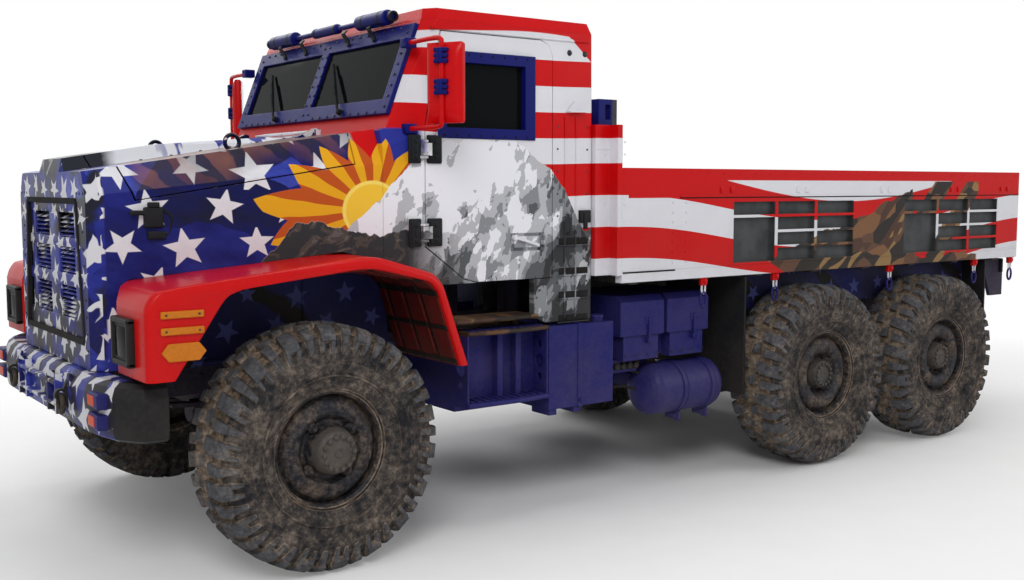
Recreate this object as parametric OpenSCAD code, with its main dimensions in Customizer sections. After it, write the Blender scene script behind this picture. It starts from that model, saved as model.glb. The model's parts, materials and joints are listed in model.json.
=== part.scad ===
// Six-wheel-drive bonneted truck with a forward-control style cab and a drop-tail cargo bed.
// +X points to the nose, +Y to the left side, +Z up. The ground is z = 0 and the whole truck is
// centred on X and Y. Each module below is drawn with x = 0 at the front axle and then placed.

/* [Overall] */
// Front axle to the front tip of the tow shackles
front_overhang = 1180; // [1150:10:1400]
// Front axle to middle axle
wheelbase = 4090; // [3900:10:4900]
// Middle axle to rear axle
tandem_gap = 1500; // [1420:10:1900]
// Rear axle to the tail
rear_overhang = 1320; // [1100:10:1700]
// Wheel centre to wheel centre, across the truck
track = 2448; // [2420:2:2620]

/* [Wheels] */
// Outer diameter of a tyre over its tread
tyre_d = 1342; // [1250:2:1370]
// Width of a tyre over its sidewalls
tyre_w = 430; // [360:2:440]
// Outer diameter of the rim flange
rim_d = 630; // [560:2:680]
// Radius of the stub that each wheel turns on
stub_r = 60; // [45:1:70]
// Radial clearance of a running fit
run_fit = 0.05; // [0.02:0.01:0.1]
// How far a front hub stands out of its wheel's middle plane
front_hub_out = 258; // [225:1:262]
// How far a tandem hub stands out of its wheel's middle plane
tandem_hub_out = 150; // [100:1:220]
// Kingpin to the wheel's middle plane
kingpin_offset = 164; // [150:2:190]
// Radius of the kingpin
kingpin_r = 30; // [22:1:34]

/* [Frame] */
// Height of the frame's top face above the ground
rail_top = 1130; // [1110:5:1180]
// Height of a frame rail
rail_h = 260; // [220:5:280]
// Half of the frame's outer width
rail_y = 430; // [400:5:450]
// Width of a rail's flange
rail_flange = 80; // [60:2:100]
// Thickness of the rail's plate
rail_t = 10; // [8:1:14]

/* [Cab] */
// Underside of the cab floor above the ground
cab_floor_z = 1490; // [1480:5:1560]
// Height of the cab side, from the floor to the roof
cab_side_h = 1536; // [1460:2:1700]
// Length of the cab
cab_len = 1510; // [1400:10:1800]
// Half width of the cab
cab_y = 1140; // [1110:2:1180]
// Thickness of the cab's walls and doors
wall_t = 50; // [36:1:60]
// Thickness of the roof with its bevelled edge
roof_t = 68; // [50:1:90]
// Gap around a door or the hood lid
panel_gap = 6; // [5:0.5:9]
// Lean of the windshield from upright, in degrees
windshield_lean = 21.2; // [12:0.2:24]
// Thickness of all window glass
glass_t = 8; // [5:1:12]
// Radius of the hinge pins of doors, lid and tailgate
pin_r = 9; // [7:0.5:11]

/* [Bed] */
// Underside of the bed's side boards above the ground
bed_bottom_z = 1440; // [1410:5:1500]
// Height of the bed's side boards
bed_side_h = 746; // [600:2:900]
// Thickness of the bed's side boards
board_t = 60; // [50:1:80]
// Half width of the bed
bed_y = 1250; // [1200:5:1290]
// Depth of the pockets in the side boards
pocket_depth = 34; // [20:1:40]
// Thickness of the bed floor
floor_t = 50; // [30:1:60]

/* [Front] */
// Height of the hood's top at the nose
nose_top_z = 2155; // [2120:5:2200]
// Half width of the hood at the nose
nose_y = 740; // [700:5:780]
// Half width of the hood at the cab
cowl_y = 1100; // [1060:5:1110]
// Thickness of the hood's panels
hood_t = 24; // [18:1:30]
// Outer face of the fenders from the centre line
fender_y = 1405; // [1380:5:1440]

/* [Hidden] */
$fn = 48;
eps = 1;
near_gap = 0.3;

// Places along the truck, from the front axle
x_mid = -wheelbase;
x_rear = -wheelbase - tandem_gap;
x_tail = x_rear - rear_overhang;
x_trunnion = (x_mid + x_rear) / 2;
centre_shift = (-x_tail - front_overhang) / 2;
axle_z = tyre_d / 2;
wheel_y = track / 2;
rail_bottom = rail_top - rail_h;
rail_in = rail_y - rail_flange;
rail_front = 950;
rail_back = x_tail + 130;

// Cab
cab_front = -500;
cab_back = cab_front - cab_len;
roof_z = cab_floor_z + cab_side_h;
sill_z = roof_z - 626;
lean_run = (roof_z - sill_z) * tan(windshield_lean);
screen_foot = cab_front - 42;
screen_head = screen_foot - lean_run;
pillar_x = cab_front - 240;
screen_slant = (roof_z - sill_z) / cos(windshield_lean);
screen_half_w = 1058;
skirt_front = cab_back + 460;
skirt_low = cab_floor_z - 278;
rear_window = [[-420, sill_z + 60], [420, sill_z + 390]];
frame_foot = 80;
frame_h = screen_slant - frame_foot - 30;
frame_bar = 92;
frame_proud = 26;

// Door outline seen from the left side: x from the front axle, z above the cab floor
door_front = pillar_x - 20;
door_back = cab_back + 320;
door_low = cab_floor_z + 5;
door_high = roof_z - 66;
hinge_x = pillar_x - 5;
hinge_y = cab_y + 24;
hinge_zs = [cab_floor_z + 310, cab_floor_z + 790];
door_window = [[door_front - 140, sill_z + 10], [door_back + 218, sill_z + 390]];

// Hood
nose_x = 1030;
seam_foot = 800;
seam_slope = 0.375;
lid_back = cab_front + 155;
lid_axis_x = lid_back - 20;
bevel_x = 975;
hood_bottom = 1100;
ridge_top_w = 190;
function along(x) = (bevel_x - x) / (bevel_x - cab_front);
function side_y(x) = nose_y + (cowl_y - nose_y) * along(x);
function shoulder_z(x) = nose_top_z - 130 + 170 * along(x);
function top_y(x) = side_y(x) - 62 - 38 * along(x);
function top_z(x) = nose_top_z + (sill_z - 6 - nose_top_z) * along(x);
lid_axis_z = top_z(lid_axis_x) + 24;

// Fender outline, seen from the side
fender_front = 975;
arch_outer = [
  [fender_front, 1127], [fender_front, 1490], [925, 1570], [-266, 1700], [-705, 1570], [-891, 1045]
];
arch_inner = [
  [-825, 1045], [-665, 1530], [-240, 1632], [478, 1555], [567, 1523], [834, 1127]
];
inner_wall_y = 720;

// Bed
bed_x0 = cab_back - 170;
bed_x1 = x_tail + 25;
bed_floor_z = bed_bottom_z + 70;
bed_top = bed_bottom_z + bed_side_h;
bed_in = bed_y - board_t;
gate_t = 50;
gate_axis_x = bed_x1 + 8;
gate_axis_z = bed_floor_z + floor_t - 20;
gate_hinge_ys = [-800, 0, 800];
floor_back = gate_axis_x + gate_t + 22;

/* Helpers */
module placed() translate([centre_shift, 0, 0]) children();
module pair() {
  children();
  mirror([0, 1, 0]) children();
}
module on_side(side) scale([1, side, 1]) children();
module block(x0, x1, y0, y1, z0, z1) translate([x0, y0, z0]) cube([x1 - x0, y1 - y0, z1 - z0]);
module side_plate(points, y0, y1)
  translate([0, y1, 0]) rotate([90, 0, 0]) linear_extrude(y1 - y0) polygon(points);
module rod_y(x, z, r, y0, y1) translate([x, y1, z]) rotate([90, 0, 0]) cylinder(r = r, h = y1 - y0);
module rod_x(y, z, r, x0, x1) translate([x0, y, z]) rotate([0, 90, 0]) cylinder(r = r, h = x1 - x0);
module rod_z(x, y, r, z0, z1) translate([x, y, z0]) cylinder(r = r, h = z1 - z0);

// A closed skin through rings of points, each ring with as many points as the next
module loft(rings) {
  n = len(rings[0]);
  m = len(rings);
  walls = [for (k = [0:m - 2]) for (i = [0:n - 1]) let (j = (i + 1) % n)
    each [[k * n + j, k * n + i, (k + 1) * n + j], [(k + 1) * n + j, k * n + i, (k + 1) * n + i]]];
  ends = [[for (i = [0:n - 1]) i], [for (i = [n - 1:-1:0]) (m - 1) * n + i]];
  polyhedron([for (r = rings) each r], concat(walls, ends));
}

// A pack of five leaves, each shorter than the one above: its centre line rises as x squared
module leaf_pack(x_mid, z_top, half_len, rise, y0, y1) {
  steps = 20;
  function z_at(k) = z_top + rise * pow(k / steps, 2);
  for (i = [0:4]) let (n = steps - 4 * i)
    side_plate(concat([for (k = [-n:n]) [x_mid + half_len * k / steps, z_at(k) - leaf_t * i]],
                      [for (k = [n:-1:-n]) [x_mid + half_len * k / steps, z_at(k) - leaf_t * (i + 1)]]), y0, y1);
}

/* Chassis */
cross_x = [-1350, -2300, -3050];
tow_bore_r = 15;
tow_jaw_t = 24;
tow_jaw_z = [930, 1030];
module frame_rails() placed() color([0.02, 0.03, 0.2]) {
  pair() difference() {
    block(rail_back, rail_front, rail_in, rail_y, rail_bottom, rail_top);
    block(rail_back - eps, rail_front + eps, rail_in - eps, rail_y - rail_t,
          rail_bottom + rail_t, rail_top - rail_t);
  }
  for (x = concat(cross_x, [x_mid + 200, x_rear - 300]))
    block(x - 50, x + 50, -rail_y + rail_t, rail_y - rail_t, rail_top - 90, rail_top - rail_t);
  block(rail_front - 90, rail_front, -rail_y + rail_t, rail_y - rail_t, rail_bottom, rail_top - rail_t);
  // Cab mounts
  pair() for (x = [cab_front - 200, cab_back + 110])
    block(x - 45, x + 45, rail_y - 110, rail_y, rail_top - rail_t, cab_floor_z);
  // Front spring hangers
  pair() for (x = [-640, 640])
    block(x - 34, x + 34, rail_in + 4, rail_y - 4, spring_eye_z + 24 + near_gap, rail_bottom + rail_t);
  // Trunnion of the tandem springs
  pair() side_plate([[x_trunnion - 190, rail_bottom + rail_t], [x_trunnion - 80, axle_z - 70],
                     [x_trunnion + 80, axle_z - 70], [x_trunnion + 190, rail_bottom + rail_t]],
                    rail_in, rail_y);
  pair() rod_y(x_trunnion, axle_z - 10, 50, rail_in, rail_y + 150);
  // Rear beam with its end plates and the tow jaw
  block(x_tail, rail_back, -1080, 1080, rail_top + 30, bed_bottom_z - 60);
  block(x_tail + 60, rail_back, -rail_y, rail_y, rail_bottom, rail_top + 30);
  difference() {
    for (z = tow_jaw_z) block(x_tail + 2, x_tail + 61, -65, 65, z, z + tow_jaw_t);
    rod_z(x_tail + 28, 0, tow_bore_r, 900, 1100);
  }
  pair() side_plate([[x_tail, rail_top - 40], [x_tail + 190, rail_top - 40],
                     [x_tail + 330, bed_bottom_z - 30], [x_tail, bed_bottom_z - 30]], 1080, 1110);
}

module powertrain() placed() color([0.06, 0.07, 0.09]) {
  block(-450, 750, -330, 330, 930, 1800);
  pair() for (x = [-200, 600]) block(x - 60, x + 60, 320, rail_y, rail_top, rail_top + 30);
  block(840, 910, -400, 400, rail_top, 1980);
  block(740, 850, -60, 60, 1300, 1400);
  block(-1150, -450, -200, 200, 920, 1300);
  rod_x(0, 980, 45, -2420, -1150);
  block(-2900, -2420, -220, 220, 600, rail_top - 100);
  pair() block(-2720, -2640, 200, rail_y - rail_t, rail_top - 200, rail_top - 110);
  rod_x(0, axle_z + 20, 42, -2420, -260);
  rod_x(0, axle_z + 20, 42, x_mid + 260, -2900);
  rod_x(0, axle_z + 20, 42, x_rear + 260, x_mid - 260);
}

// Axle housing with its final drive, without what carries the wheels
module axle_housing(x, beam_r, half_len) {
  rod_y(x, axle_z, beam_r, -half_len, half_len);
  intersection() {
    translate([x, 0, axle_z]) scale(1) sphere(r = 215);
    block(x - 190, x + 190, -185, 185, axle_z - 215, axle_z + 185);
  }
  pair() rod_y(x, axle_z, 130, 150, 260);
  rod_x(0, axle_z + 20, 70, x - 260, x + 260);
}
spring_pad_z = 741;
spring_eye_z = 838;
kingpin_y = wheel_y - kingpin_offset;

module front_axle() placed() color([0.05, 0.06, 0.1]) {
  axle_housing(0, 66, kingpin_y - 30);
  pair() {
    block(-70, 70, rail_in + 4, rail_y - 4, axle_z, spring_pad_z);
    rod_z(0, kingpin_y, 55, axle_z - 80, axle_z + 80);
    rod_z(0, kingpin_y, kingpin_r, axle_z - 150, axle_z + 150);
  }
}

module tandem_axles() placed() color([0.05, 0.06, 0.1]) for (x = [x_mid, x_rear]) {
  axle_housing(x, 78, wheel_y - 160);
  pair() {
    rod_y(x, axle_z, stub_r, wheel_y - 170, wheel_y + tandem_hub_out - 30);
    rod_y(x, axle_z, 175, wheel_y - 190, wheel_y - 160);
    block(x - 60, x + 60, rail_y + 16, rail_y + 114, axle_z, tandem_pad_z - near_gap);
  }
}
tandem_leaf_z = 856;
tandem_leaf_drop = 60;
tandem_half = tandem_gap / 2 + 60;
leaf_t = 13;
tandem_pad_z = tandem_leaf_z - tandem_leaf_drop - leaf_t;
front_half = 640;
front_leaf_rise = 36;

module leaf_springs() placed() color([0.04, 0.04, 0.06]) pair() {
  leaf_pack(0, spring_pad_z + 5 * leaf_t, front_half, front_leaf_rise, rail_in + 4, rail_y - 4);
  for (x = [-front_half, front_half]) rod_y(x, spring_eye_z, 24, rail_in + 4, rail_y - 4);
  leaf_pack(x_trunnion, tandem_leaf_z, tandem_half, -tandem_leaf_drop, rail_y + 20, rail_y + 110);
  difference() {
    block(x_trunnion - 90, x_trunnion + 90, rail_y + 20, rail_y + 110, axle_z - 90,
          tandem_leaf_z - 5 * leaf_t + 3);
    rod_y(x_trunnion, axle_z - 10, 50 + near_gap, rail_y, rail_y + 160);
  }
}

/* Front end */
bumper_front = 1110;
bumper_z = [795, hood_bottom - near_gap];
bumper_plan = [
  [bumper_front, 0], [bumper_front, 900], [1050, 1110], [985, 1230], [940, 1262], [820, 1265],
  [820, 1190], [900, 1180], [rail_front, 1040], [rail_front, 0]
];
lug_hole = [front_overhang - 34, 965];
lug_hole_r = 20;
ring_r = 14;
ring_bend = 46;
ring_drop = ring_bend - sqrt(pow(ring_bend, 2) - pow(16, 2));
module front_bumper() placed() color([0.05, 0.07, 0.35]) {
  pair() translate([0, 0, bumper_z[0]]) linear_extrude(bumper_z[1] - bumper_z[0]) polygon(bumper_plan);
  pair() difference() {
    union() {
      block(bumper_front - eps, lug_hole[0], 504, 536, lug_hole[1] - 34, lug_hole[1] + 34);
      rod_y(lug_hole[0], lug_hole[1], 34, 504, 536);
    }
    rod_y(lug_hole[0], lug_hole[1], lug_hole_r, 500, 540);
  }
}

// Rings that hang in the bumper's lugs
module tow_shackles() placed() color([0.02, 0.02, 0.03]) pair()
  translate([lug_hole[0], 520, lug_hole[1] - lug_hole_r + ring_r + ring_drop + 4 * near_gap - ring_bend])
    rotate([0, 90, 0]) rotate_extrude() translate([ring_bend, 0]) circle(r = ring_r);

module hood_solid(inset) {
  xs = [nose_x, bevel_x, seam_foot, 0, cab_front + (inset > 0 ? -10 : eps)];
  loft([for (x = xs) let (tuck = (x == nose_x) ? 50 : 0, x1 = (x == nose_x) ? x - inset : x,
                          y = side_y(x) - tuck - inset, yt = top_y(x) - tuck - inset)
    [[x1, -y, hood_bottom - (inset > 0 ? eps : 0)], [x1, -y, shoulder_z(x) - inset / 2],
     [x1, -yt, top_z(x) - inset], [x1, yt, top_z(x) - inset],
     [x1, y, shoulder_z(x) - inset / 2], [x1, y, hood_bottom - (inset > 0 ? eps : 0)]]]);
}
// Side view of the lid, grown by a gap
module lid_region(gap) {
  z0 = shoulder_z(seam_foot) - 48 - gap;
  z1 = shoulder_z(lid_back) + 18 - gap;
  side_plate([[seam_foot + gap, z0], [seam_foot + gap + 500 * seam_slope, z0 + 500],
              [lid_back - gap, z1 + 500], [lid_back - gap, z1]], -1300, 1300);
}
module hood_skin() difference() {
  hood_solid(0);
  hood_solid(hood_t);
}
// Raised middle of the hood: place from the front axle and height above the hood's top
ridge_rings = [[nose_x - 2, 4], [nose_x - 17, 73], [500, 76], [-200, 22], [lid_back + 60, 4]];
module ridge() loft([
  for (r = ridge_rings) let (x = r[0], w = ridge_top_w + 0.02 * (nose_x - x), z = top_z(x))
    [[x, -w - 55, z - 12], [x, -w, z + r[1]], [x, w, z + r[1]], [x, w + 55, z - 12]]
]);
module under_arch(y0, y1) side_plate(concat(arch_outer, [[-891, 0], [fender_front, 0]]), y0, y1);

module hood_shell() placed() color([0.08, 0.1, 0.45]) {
  difference() {
    union() {
      hood_skin();
      // Front wall
      intersection() {
        hood_solid(0);
        block(nose_x - 40, nose_x, -900, 900, hood_bottom, 2400);
      }
      ridge();
    }
    lid_region(panel_gap);
    pair() intersection() {
      under_arch(0, 1500);
      block(-900, 850, 0, 1500, 0, 1800);
    }
    // Grille opening, wider at its foot
    translate([nose_x - 60, 0, 0]) rotate([90, 0, 90]) linear_extrude(100)
      polygon([[-592, 1236], [592, 1236], [507, 1994], [-507, 1994]]);
  }
  // Lid hinges: two lugs and a pin each
  for (y = hood_hinge_ys) {
    for (s = [-1, 1]) translate([0, y + s * 38, 0])
      side_plate([[lid_axis_x - 30, lid_axis_z - 60], [lid_axis_x + 8, lid_axis_z - 60],
                  [lid_axis_x + 14, lid_axis_z + 10], [lid_axis_x - 14, lid_axis_z + 12]], -8, 8);
    rod_y(lid_axis_x, lid_axis_z, pin_r, y - 40, y + 40);
  }
}
hood_hinge_ys = [-520, 520];

module hood_lid() placed() color([0.1, 0.12, 0.5]) {
  intersection() {
    union() {
      hood_skin();
      ridge();
    }
    lid_region(0);
  }
  // Lifting eyes
  pair() translate([200, 629, top_z(200) + 34]) rotate([90, 0, 0]) rotate_extrude() translate([42, 0]) circle(r = 12);
  // Hinge barrels
  for (y = hood_hinge_ys) difference() {
    union() {
      rod_y(lid_axis_x, lid_axis_z, pin_r + 8, y - 25, y + 25);
      side_plate([[lid_axis_x, lid_axis_z + pin_r + 7], [lid_axis_x + 120, top_z(lid_axis_x + 120) + 8],
                  [lid_axis_x + 120, top_z(lid_axis_x + 120) - 8], [lid_axis_x + 32, top_z(lid_axis_x + 32) - 4],
                  [lid_axis_x + 20, lid_axis_z - 10], [lid_axis_x, lid_axis_z - 4]], y - 25, y + 25);
    }
    rod_y(lid_axis_x, lid_axis_z, pin_r + run_fit, y - 60, y + 60);
  }
}

module grille() placed() color([0.03, 0.03, 0.1]) {
  difference() {
    translate([nose_x - 60, 0, 0]) rotate([90, 0, 90]) linear_extrude(52)
      polygon([[-591, 1237], [591, 1237], [506, 1993], [-506, 1993]]);
    for (z = [1290:84:1930]) block(nose_x - 40, nose_x + eps, -430, 430, z, z + 52);
  }
}

module fenders() placed() color([0.75, 0.05, 0.05]) pair() difference() {
  union() {
    side_plate(concat(arch_outer, arch_inner), inner_wall_y - 20, fender_y);
    // Inner wall of the wheel arch
    side_plate([[850, hood_bottom - 25], [850, 1520], [-240, 1640], [-690, 1530], [-760, hood_bottom - 25]],
               inner_wall_y - 20, inner_wall_y);
    for (x = [760, -640]) block(x - 30, x + 30, rail_y, inner_wall_y - 10, hood_bottom - 15, hood_bottom + 25);
  }
  // Room for the nose
  linear_extrude(3000) polygon([[850, 0], [850, side_y(850) + near_gap], [fender_front, 970],
                                [nose_x + 50, 970], [nose_x + 50, 0]]);
}

module headlights() placed() color([0.03, 0.04, 0.05]) pair() difference() {
  block(fender_front, fender_front + 40, 985, 1235, 1185, 1420);
  block(fender_front + 28, fender_front + 41, 1025, 1195, 1225, 1380);
}

/* Cab */
// Cab plan at a height: front corner, pillar and back
function cab_ring(xf, yf, xs, ys, xb, z) =
  [[xf, -yf, z], [xf, yf, z], [xs, ys, z], [xb, ys, z], [xb, -ys, z], [xs, -ys, z]];
module cab_solid(t) {
  low = (t > 0) ? cab_floor_z + wall_t : cab_floor_z;
  high = (t > 0) ? roof_z + eps : roof_z;
  loft([
    cab_ring(cab_front - t, cowl_y - t, pillar_x, cab_y - t, cab_back + t, low),
    cab_ring(cab_front - t, cowl_y - t, pillar_x, cab_y - t, cab_back + t, sill_z - 120),
    cab_ring(cab_front - t, 1064 - t, pillar_x, cab_y - t, cab_back + t, sill_z - 14),
    cab_ring(screen_foot - t, 1064 - t, pillar_x - 4, cab_y - t, cab_back + t, sill_z),
    cab_ring(screen_head - t, 1061 - t, pillar_x - 110, cab_y - 6 - t, cab_back + t, high)
  ]);
}
function door_points(g) = [
  [door_front + g, sill_z - 680 - g], [door_front + g, sill_z + 20],
  [door_front - 112 + g, door_high + g], [door_back + 90, door_high + g],
  [door_back + 26 - g * 0.4, door_high - 26 + g * 0.4], [door_back - g, door_high - 90],
  [door_back - g, door_low - g], [door_front - 360, door_low - g], [door_front - 262, door_low + 25 - g]
];
module place_screen() translate([screen_foot, 0, sill_z]) rotate([0, -windshield_lean, 0]) children();
// Outline of the windshield opening in its own plane
module screen_opening(grow) {
  for (s = [0, 1]) mirror([0, s, 0])
    translate([0, 46 - grow, frame_foot + frame_bar - grow])
      cube([1, screen_half_w - frame_bar - 46 + 2 * grow, frame_h - 2 * frame_bar + 2 * grow]);
}

module cab_shell() placed() color([0.75, 0.08, 0.08]) {
  difference() {
    cab_solid(0);
    cab_solid(wall_t);
    pair() side_plate(door_points(panel_gap), cab_y - wall_t - 60, cab_y + 60);
    place_screen() translate([-wall_t - 60, -screen_half_w + 60, frame_foot + 60])
      cube([wall_t + 160, 2 * screen_half_w - 120, frame_h - 120]);
    pair() under_arch(inner_wall_y - 20, 1500);
    // Rear window
    block(cab_back - eps, cab_back + wall_t + eps, rear_window[0][0], rear_window[1][0],
          rear_window[0][1], rear_window[1][1]);
  }
  // Skirt below the cab floor, behind the step
  pair() side_plate([[skirt_front, cab_floor_z + eps], [skirt_front, skirt_low + 38], [skirt_front - 90, skirt_low],
                     [cab_back, skirt_low], [cab_back, cab_floor_z + eps]], cab_y - wall_t, cab_y);
  // Seat boxes on the floor
  pair() block(-1850, -1300, 250, 760, cab_floor_z + wall_t, cab_floor_z + 300);
  // Door hinges: two lugs and a pin each
  pair() for (z = hinge_zs) {
    block(hinge_x + 26, hinge_x + 90, cab_y - 16, cab_y + 16, z - 60, z + 60);
    for (s = [-1, 1]) translate([0, 0, z + s * 46]) linear_extrude(14, center = true)
      polygon([[hinge_x + 40, cab_y + 10], [hinge_x + 14, hinge_y + 14], [hinge_x - 12, hinge_y + 12],
               [hinge_x - 12, hinge_y - 8], [hinge_x + 12, cab_y + 6]]);
    rod_z(hinge_x, hinge_y, pin_r, z - 50, z + 50);
  }
}

module door(side) placed() on_side(side) color([0.75, 0.08, 0.08]) {
  difference() {
    union() {
      side_plate(door_points(0), cab_y - wall_t, cab_y);
      // Window frame
      side_plate([[door_window[0][0] + 70, door_window[0][1] - 58], [door_window[0][0] + 70, door_window[1][1] + 62],
                  [door_window[1][0] - 76, door_window[1][1] + 62], [door_window[1][0] - 76, door_window[0][1] - 58]],
                 cab_y - 1, cab_y + 14);
    }
    block(door_window[1][0], door_window[0][0], cab_y - wall_t - 9, cab_y + 30, door_window[0][1], door_window[1][1]);
    block(door_window[1][0] - 15, door_window[0][0] + 15, cab_y - 30 - glass_t, cab_y - 30,
          door_window[0][1] - 15, door_window[1][1] + 15);
    // Handle recess
    block(door_back + 60, door_back + 320, cab_y - 26, cab_y + eps, cab_floor_z + 180, cab_floor_z + 290);
  }
  block(door_back + 90, door_back + 290, cab_y - 18, cab_y - 4, cab_floor_z + 200, cab_floor_z + 270);
  for (x = [door_back + 110, door_back + 260])
    block(x, x + 20, cab_y - 30, cab_y - 10, cab_floor_z + 225, cab_floor_z + 245);
  for (z = hinge_zs) difference() {
    union() {
      rod_z(hinge_x, hinge_y, pin_r + 8, z - 36, z + 36);
      translate([0, 0, z]) linear_extrude(72, center = true)
        polygon([[hinge_x, hinge_y + pin_r + 7], [hinge_x - 90, cab_y + 12], [hinge_x - 90, cab_y - 6],
                 [hinge_x - 22, cab_y - 6], [hinge_x - 2, hinge_y - pin_r - 6]]);
    }
    rod_z(hinge_x, hinge_y, pin_r + run_fit, z - 60, z + 60);
  }
}
module door_glass(side) placed() on_side(side) color([0.1, 0.12, 0.14, 0.5])
  block(door_window[1][0] - 14.7, door_window[0][0] + 14.7, cab_y - 30 - glass_t + near_gap, cab_y - 30 - near_gap,
        door_window[0][1] - 15, door_window[1][1] + 14.7);

module cab_roof() placed() color([0.75, 0.05, 0.07]) {
  top_in = 22;
  loft([
    cab_ring(screen_head, 1061, pillar_x - 110, cab_y - 6, cab_back, roof_z),
    cab_ring(screen_head - 26, 1061 - top_in, pillar_x - 120, cab_y - 6 - top_in, cab_back + top_in, roof_z + roof_t)
  ]);
}

module windshield_frame() placed() color([0.1, 0.13, 0.45]) place_screen() difference() {
  translate([near_gap, -screen_half_w, frame_foot]) cube([frame_proud, 2 * screen_half_w, frame_h]);
  translate([-eps, 0, 0]) scale([60, 1, 1]) screen_opening(0);
  translate([-eps, 0, 0]) scale([glass_t + 2, 1, 1]) screen_opening(16);
}
module windshield_glass() placed() color([0.1, 0.12, 0.14, 0.5])
  place_screen() translate([2 * near_gap, 0, 0]) scale([glass_t, 1, 1]) screen_opening(15.7);

module rear_glass() placed() color([0.1, 0.12, 0.14, 0.5])
  block(cab_back + 20, cab_back + 20 + glass_t, rear_window[0][0], rear_window[1][0],
        rear_window[0][1], rear_window[1][1]);

bar_x = screen_head + 62;
bar_z = roof_z + 42;
module roof_bar() placed() color([0.1, 0.13, 0.45]) {
  rod_y(bar_x, bar_z, 28, -830, 830);
  pair() rod_y(bar_x, bar_z, 44, 790, 850);
  for (y = [-500, 0, 500]) {
    block(bar_x - 40, bar_x + 40, y - 45, y + 45, bar_z - 34, bar_z + 34);
    place_screen() translate([frame_proud + 2 * near_gap, y - 42, screen_slant - 110]) cube([20, 84, 140]);
  }
}

module mirrors() placed() color([0.75, 0.05, 0.07]) difference() {
  pair() mirror_arms();
  cab_solid(0);
}
module mirror_arms() {
  translate([-672, 1450, 0]) rotate([0, 0, 28]) block(-80, -10, -112, 112, sill_z + 20, sill_z + 460);
  rod_z(-672, 1450, 16, sill_z - 16, sill_z + 486);
  for (z = [sill_z, sill_z + 470]) {
    rod_y(-672, z, 15, 1150, 1450);
    block(-700, -644, 1070, 1155, z - 30, z + 30);
  }
}

module dashboard() placed() color([0.1, 0.1, 0.11]) {
  block(-840, cab_front - wall_t, -1000, 1000, cab_floor_z + 460, sill_z - 60);
  // Steering column and wheel
  translate([-1060, 505, cab_floor_z + 640]) rotate([0, 118, 0]) {
    rotate_extrude() translate([215, 0]) circle(r = 15);
    translate([0, 0, -20]) cylinder(r = 60, h = 40);
    for (a = [30, 150, 270]) rotate([0, 0, a]) translate([50, -14, -8]) cube([160, 28, 16]);
    cylinder(r = 30, h = 290);
  }
}

module seats() placed() color([0.12, 0.12, 0.13]) pair() {
  block(-1850, -1300, 250, 760, cab_floor_z + 300, cab_floor_z + 430);
  block(-1850, -1720, 250, 760, cab_floor_z + 430, cab_floor_z + 1080);
}

/* Sides of the chassis */
step_x = [cab_back + 390, -1010];
step_top = 1200;
module step_boxes() placed() color([0.05, 0.07, 0.3]) pair() {
  block(step_x[0], step_x[1], rail_y, 1050, 700, step_top);
  // End plates with lightening holes, and the ribs between them
  difference() {
    for (x = [step_x[0], step_x[1] - 12]) block(x, x + 12, 1040, 1195, 745, step_top);
    for (h = [[870, 24], [970, 42], [1080, 24]]) rod_x(1120, h[0], h[1], step_x[0] - eps, step_x[1] + eps);
  }
  for (x = [step_x[0] + 290, step_x[0] + 150]) block(x, x + 40, 1045, 1110, 770, step_top);
  // Lower, middle and upper treads
  block(step_x[0], step_x[1], 1040, 1205, 740, 770);
  block(step_x[0], step_x[1], 1000, 1205, step_top - 22, step_top);
  block(skirt_front + near_gap, -920, 950, 1180, step_top + 50, step_top + 75);
  for (x = [step_x[0] + 120, step_x[1] - 20]) block(x, x + 40, 1000, 1040, step_top - eps, step_top + 51);
}
tank_x = [cab_back - 155, cab_back + 380];
module fuel_tanks() placed() color([0.05, 0.07, 0.3]) pair() {
  block(tank_x[0], tank_x[1], rail_y, 1190, 660, 1190);
  rod_z(tank_x[0] + 85, 1120, 42, 1180, 1232);
  block(tank_x[0] + 261, tank_x[0] + 301, rail_y, 1196, 654, 1196);
  for (x = [265, 465]) block(tank_x[0] + x, tank_x[0] + x + 60, 1000, 1180, 622, 661);
}
// The battery boxes share the bay between the fuel tank and the mudguard, with a gap between them
battery_bay = [x_mid + 950, cab_back - 300];
lid_len = (battery_bay[1] - battery_bay[0] - 30) / 2;
battery_lids = [[battery_bay[1] - lid_len, battery_bay[1]], [battery_bay[0], battery_bay[0] + lid_len]];
module battery_boxes() placed() color([0.05, 0.07, 0.3]) pair() {
  for (b = battery_lids) {
    translate([b[0], 0, 0]) rotate([90, 0, 90]) linear_extrude(b[1] - b[0])
      polygon([[rail_y, 1060], [1100, 1060], [1100, 1290], [1050, 1330], [rail_y, 1330]]);
    block(b[0] + 40, b[1] - 40, rail_y, 1085, 890, 1061);
  }
  block(battery_lids[1][0] + 60, battery_lids[0][1] - 60, rail_y, 1000, 900, 1060);
}
tank_r = 180;
tank_ends = [x_mid + 810, cab_back - 550];
function dome(s, x) = [for (a = [0:15:90]) [tank_r * cos(90 - a), x - s * 95 * (1 - sin(90 - a))]];
module air_tanks() placed() color([0.05, 0.07, 0.3]) pair() {
  translate([0, 1000, 660]) rotate([0, 90, 0]) rotate_extrude() {
    polygon(concat(dome(-1, tank_ends[0]), [[tank_r, tank_ends[1] - 95]],
                   [for (a = [75:-15:0]) dome(1, tank_ends[1])[a / 15]]));
  }
  for (x = [tank_ends[0] + 150, tank_ends[1] - 300]) {
    rod_x(1000, 660, tank_r + 6, x - 25, x + 25);
    block(x - 25, x + 25, rail_y, 830, 600, 700);
    block(x - 25, x + 25, rail_y, rail_y + 20, 600, 885);
  }
}
module mudguards() placed() color([0.03, 0.04, 0.12]) pair() {
  block(x_mid + 700, x_mid + 716, rail_y, 1230, 575, 1420);
  block(x_rear - 900, x_rear - 884, rail_y, 1200, 860, bed_bottom_z - near_gap);
}

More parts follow.
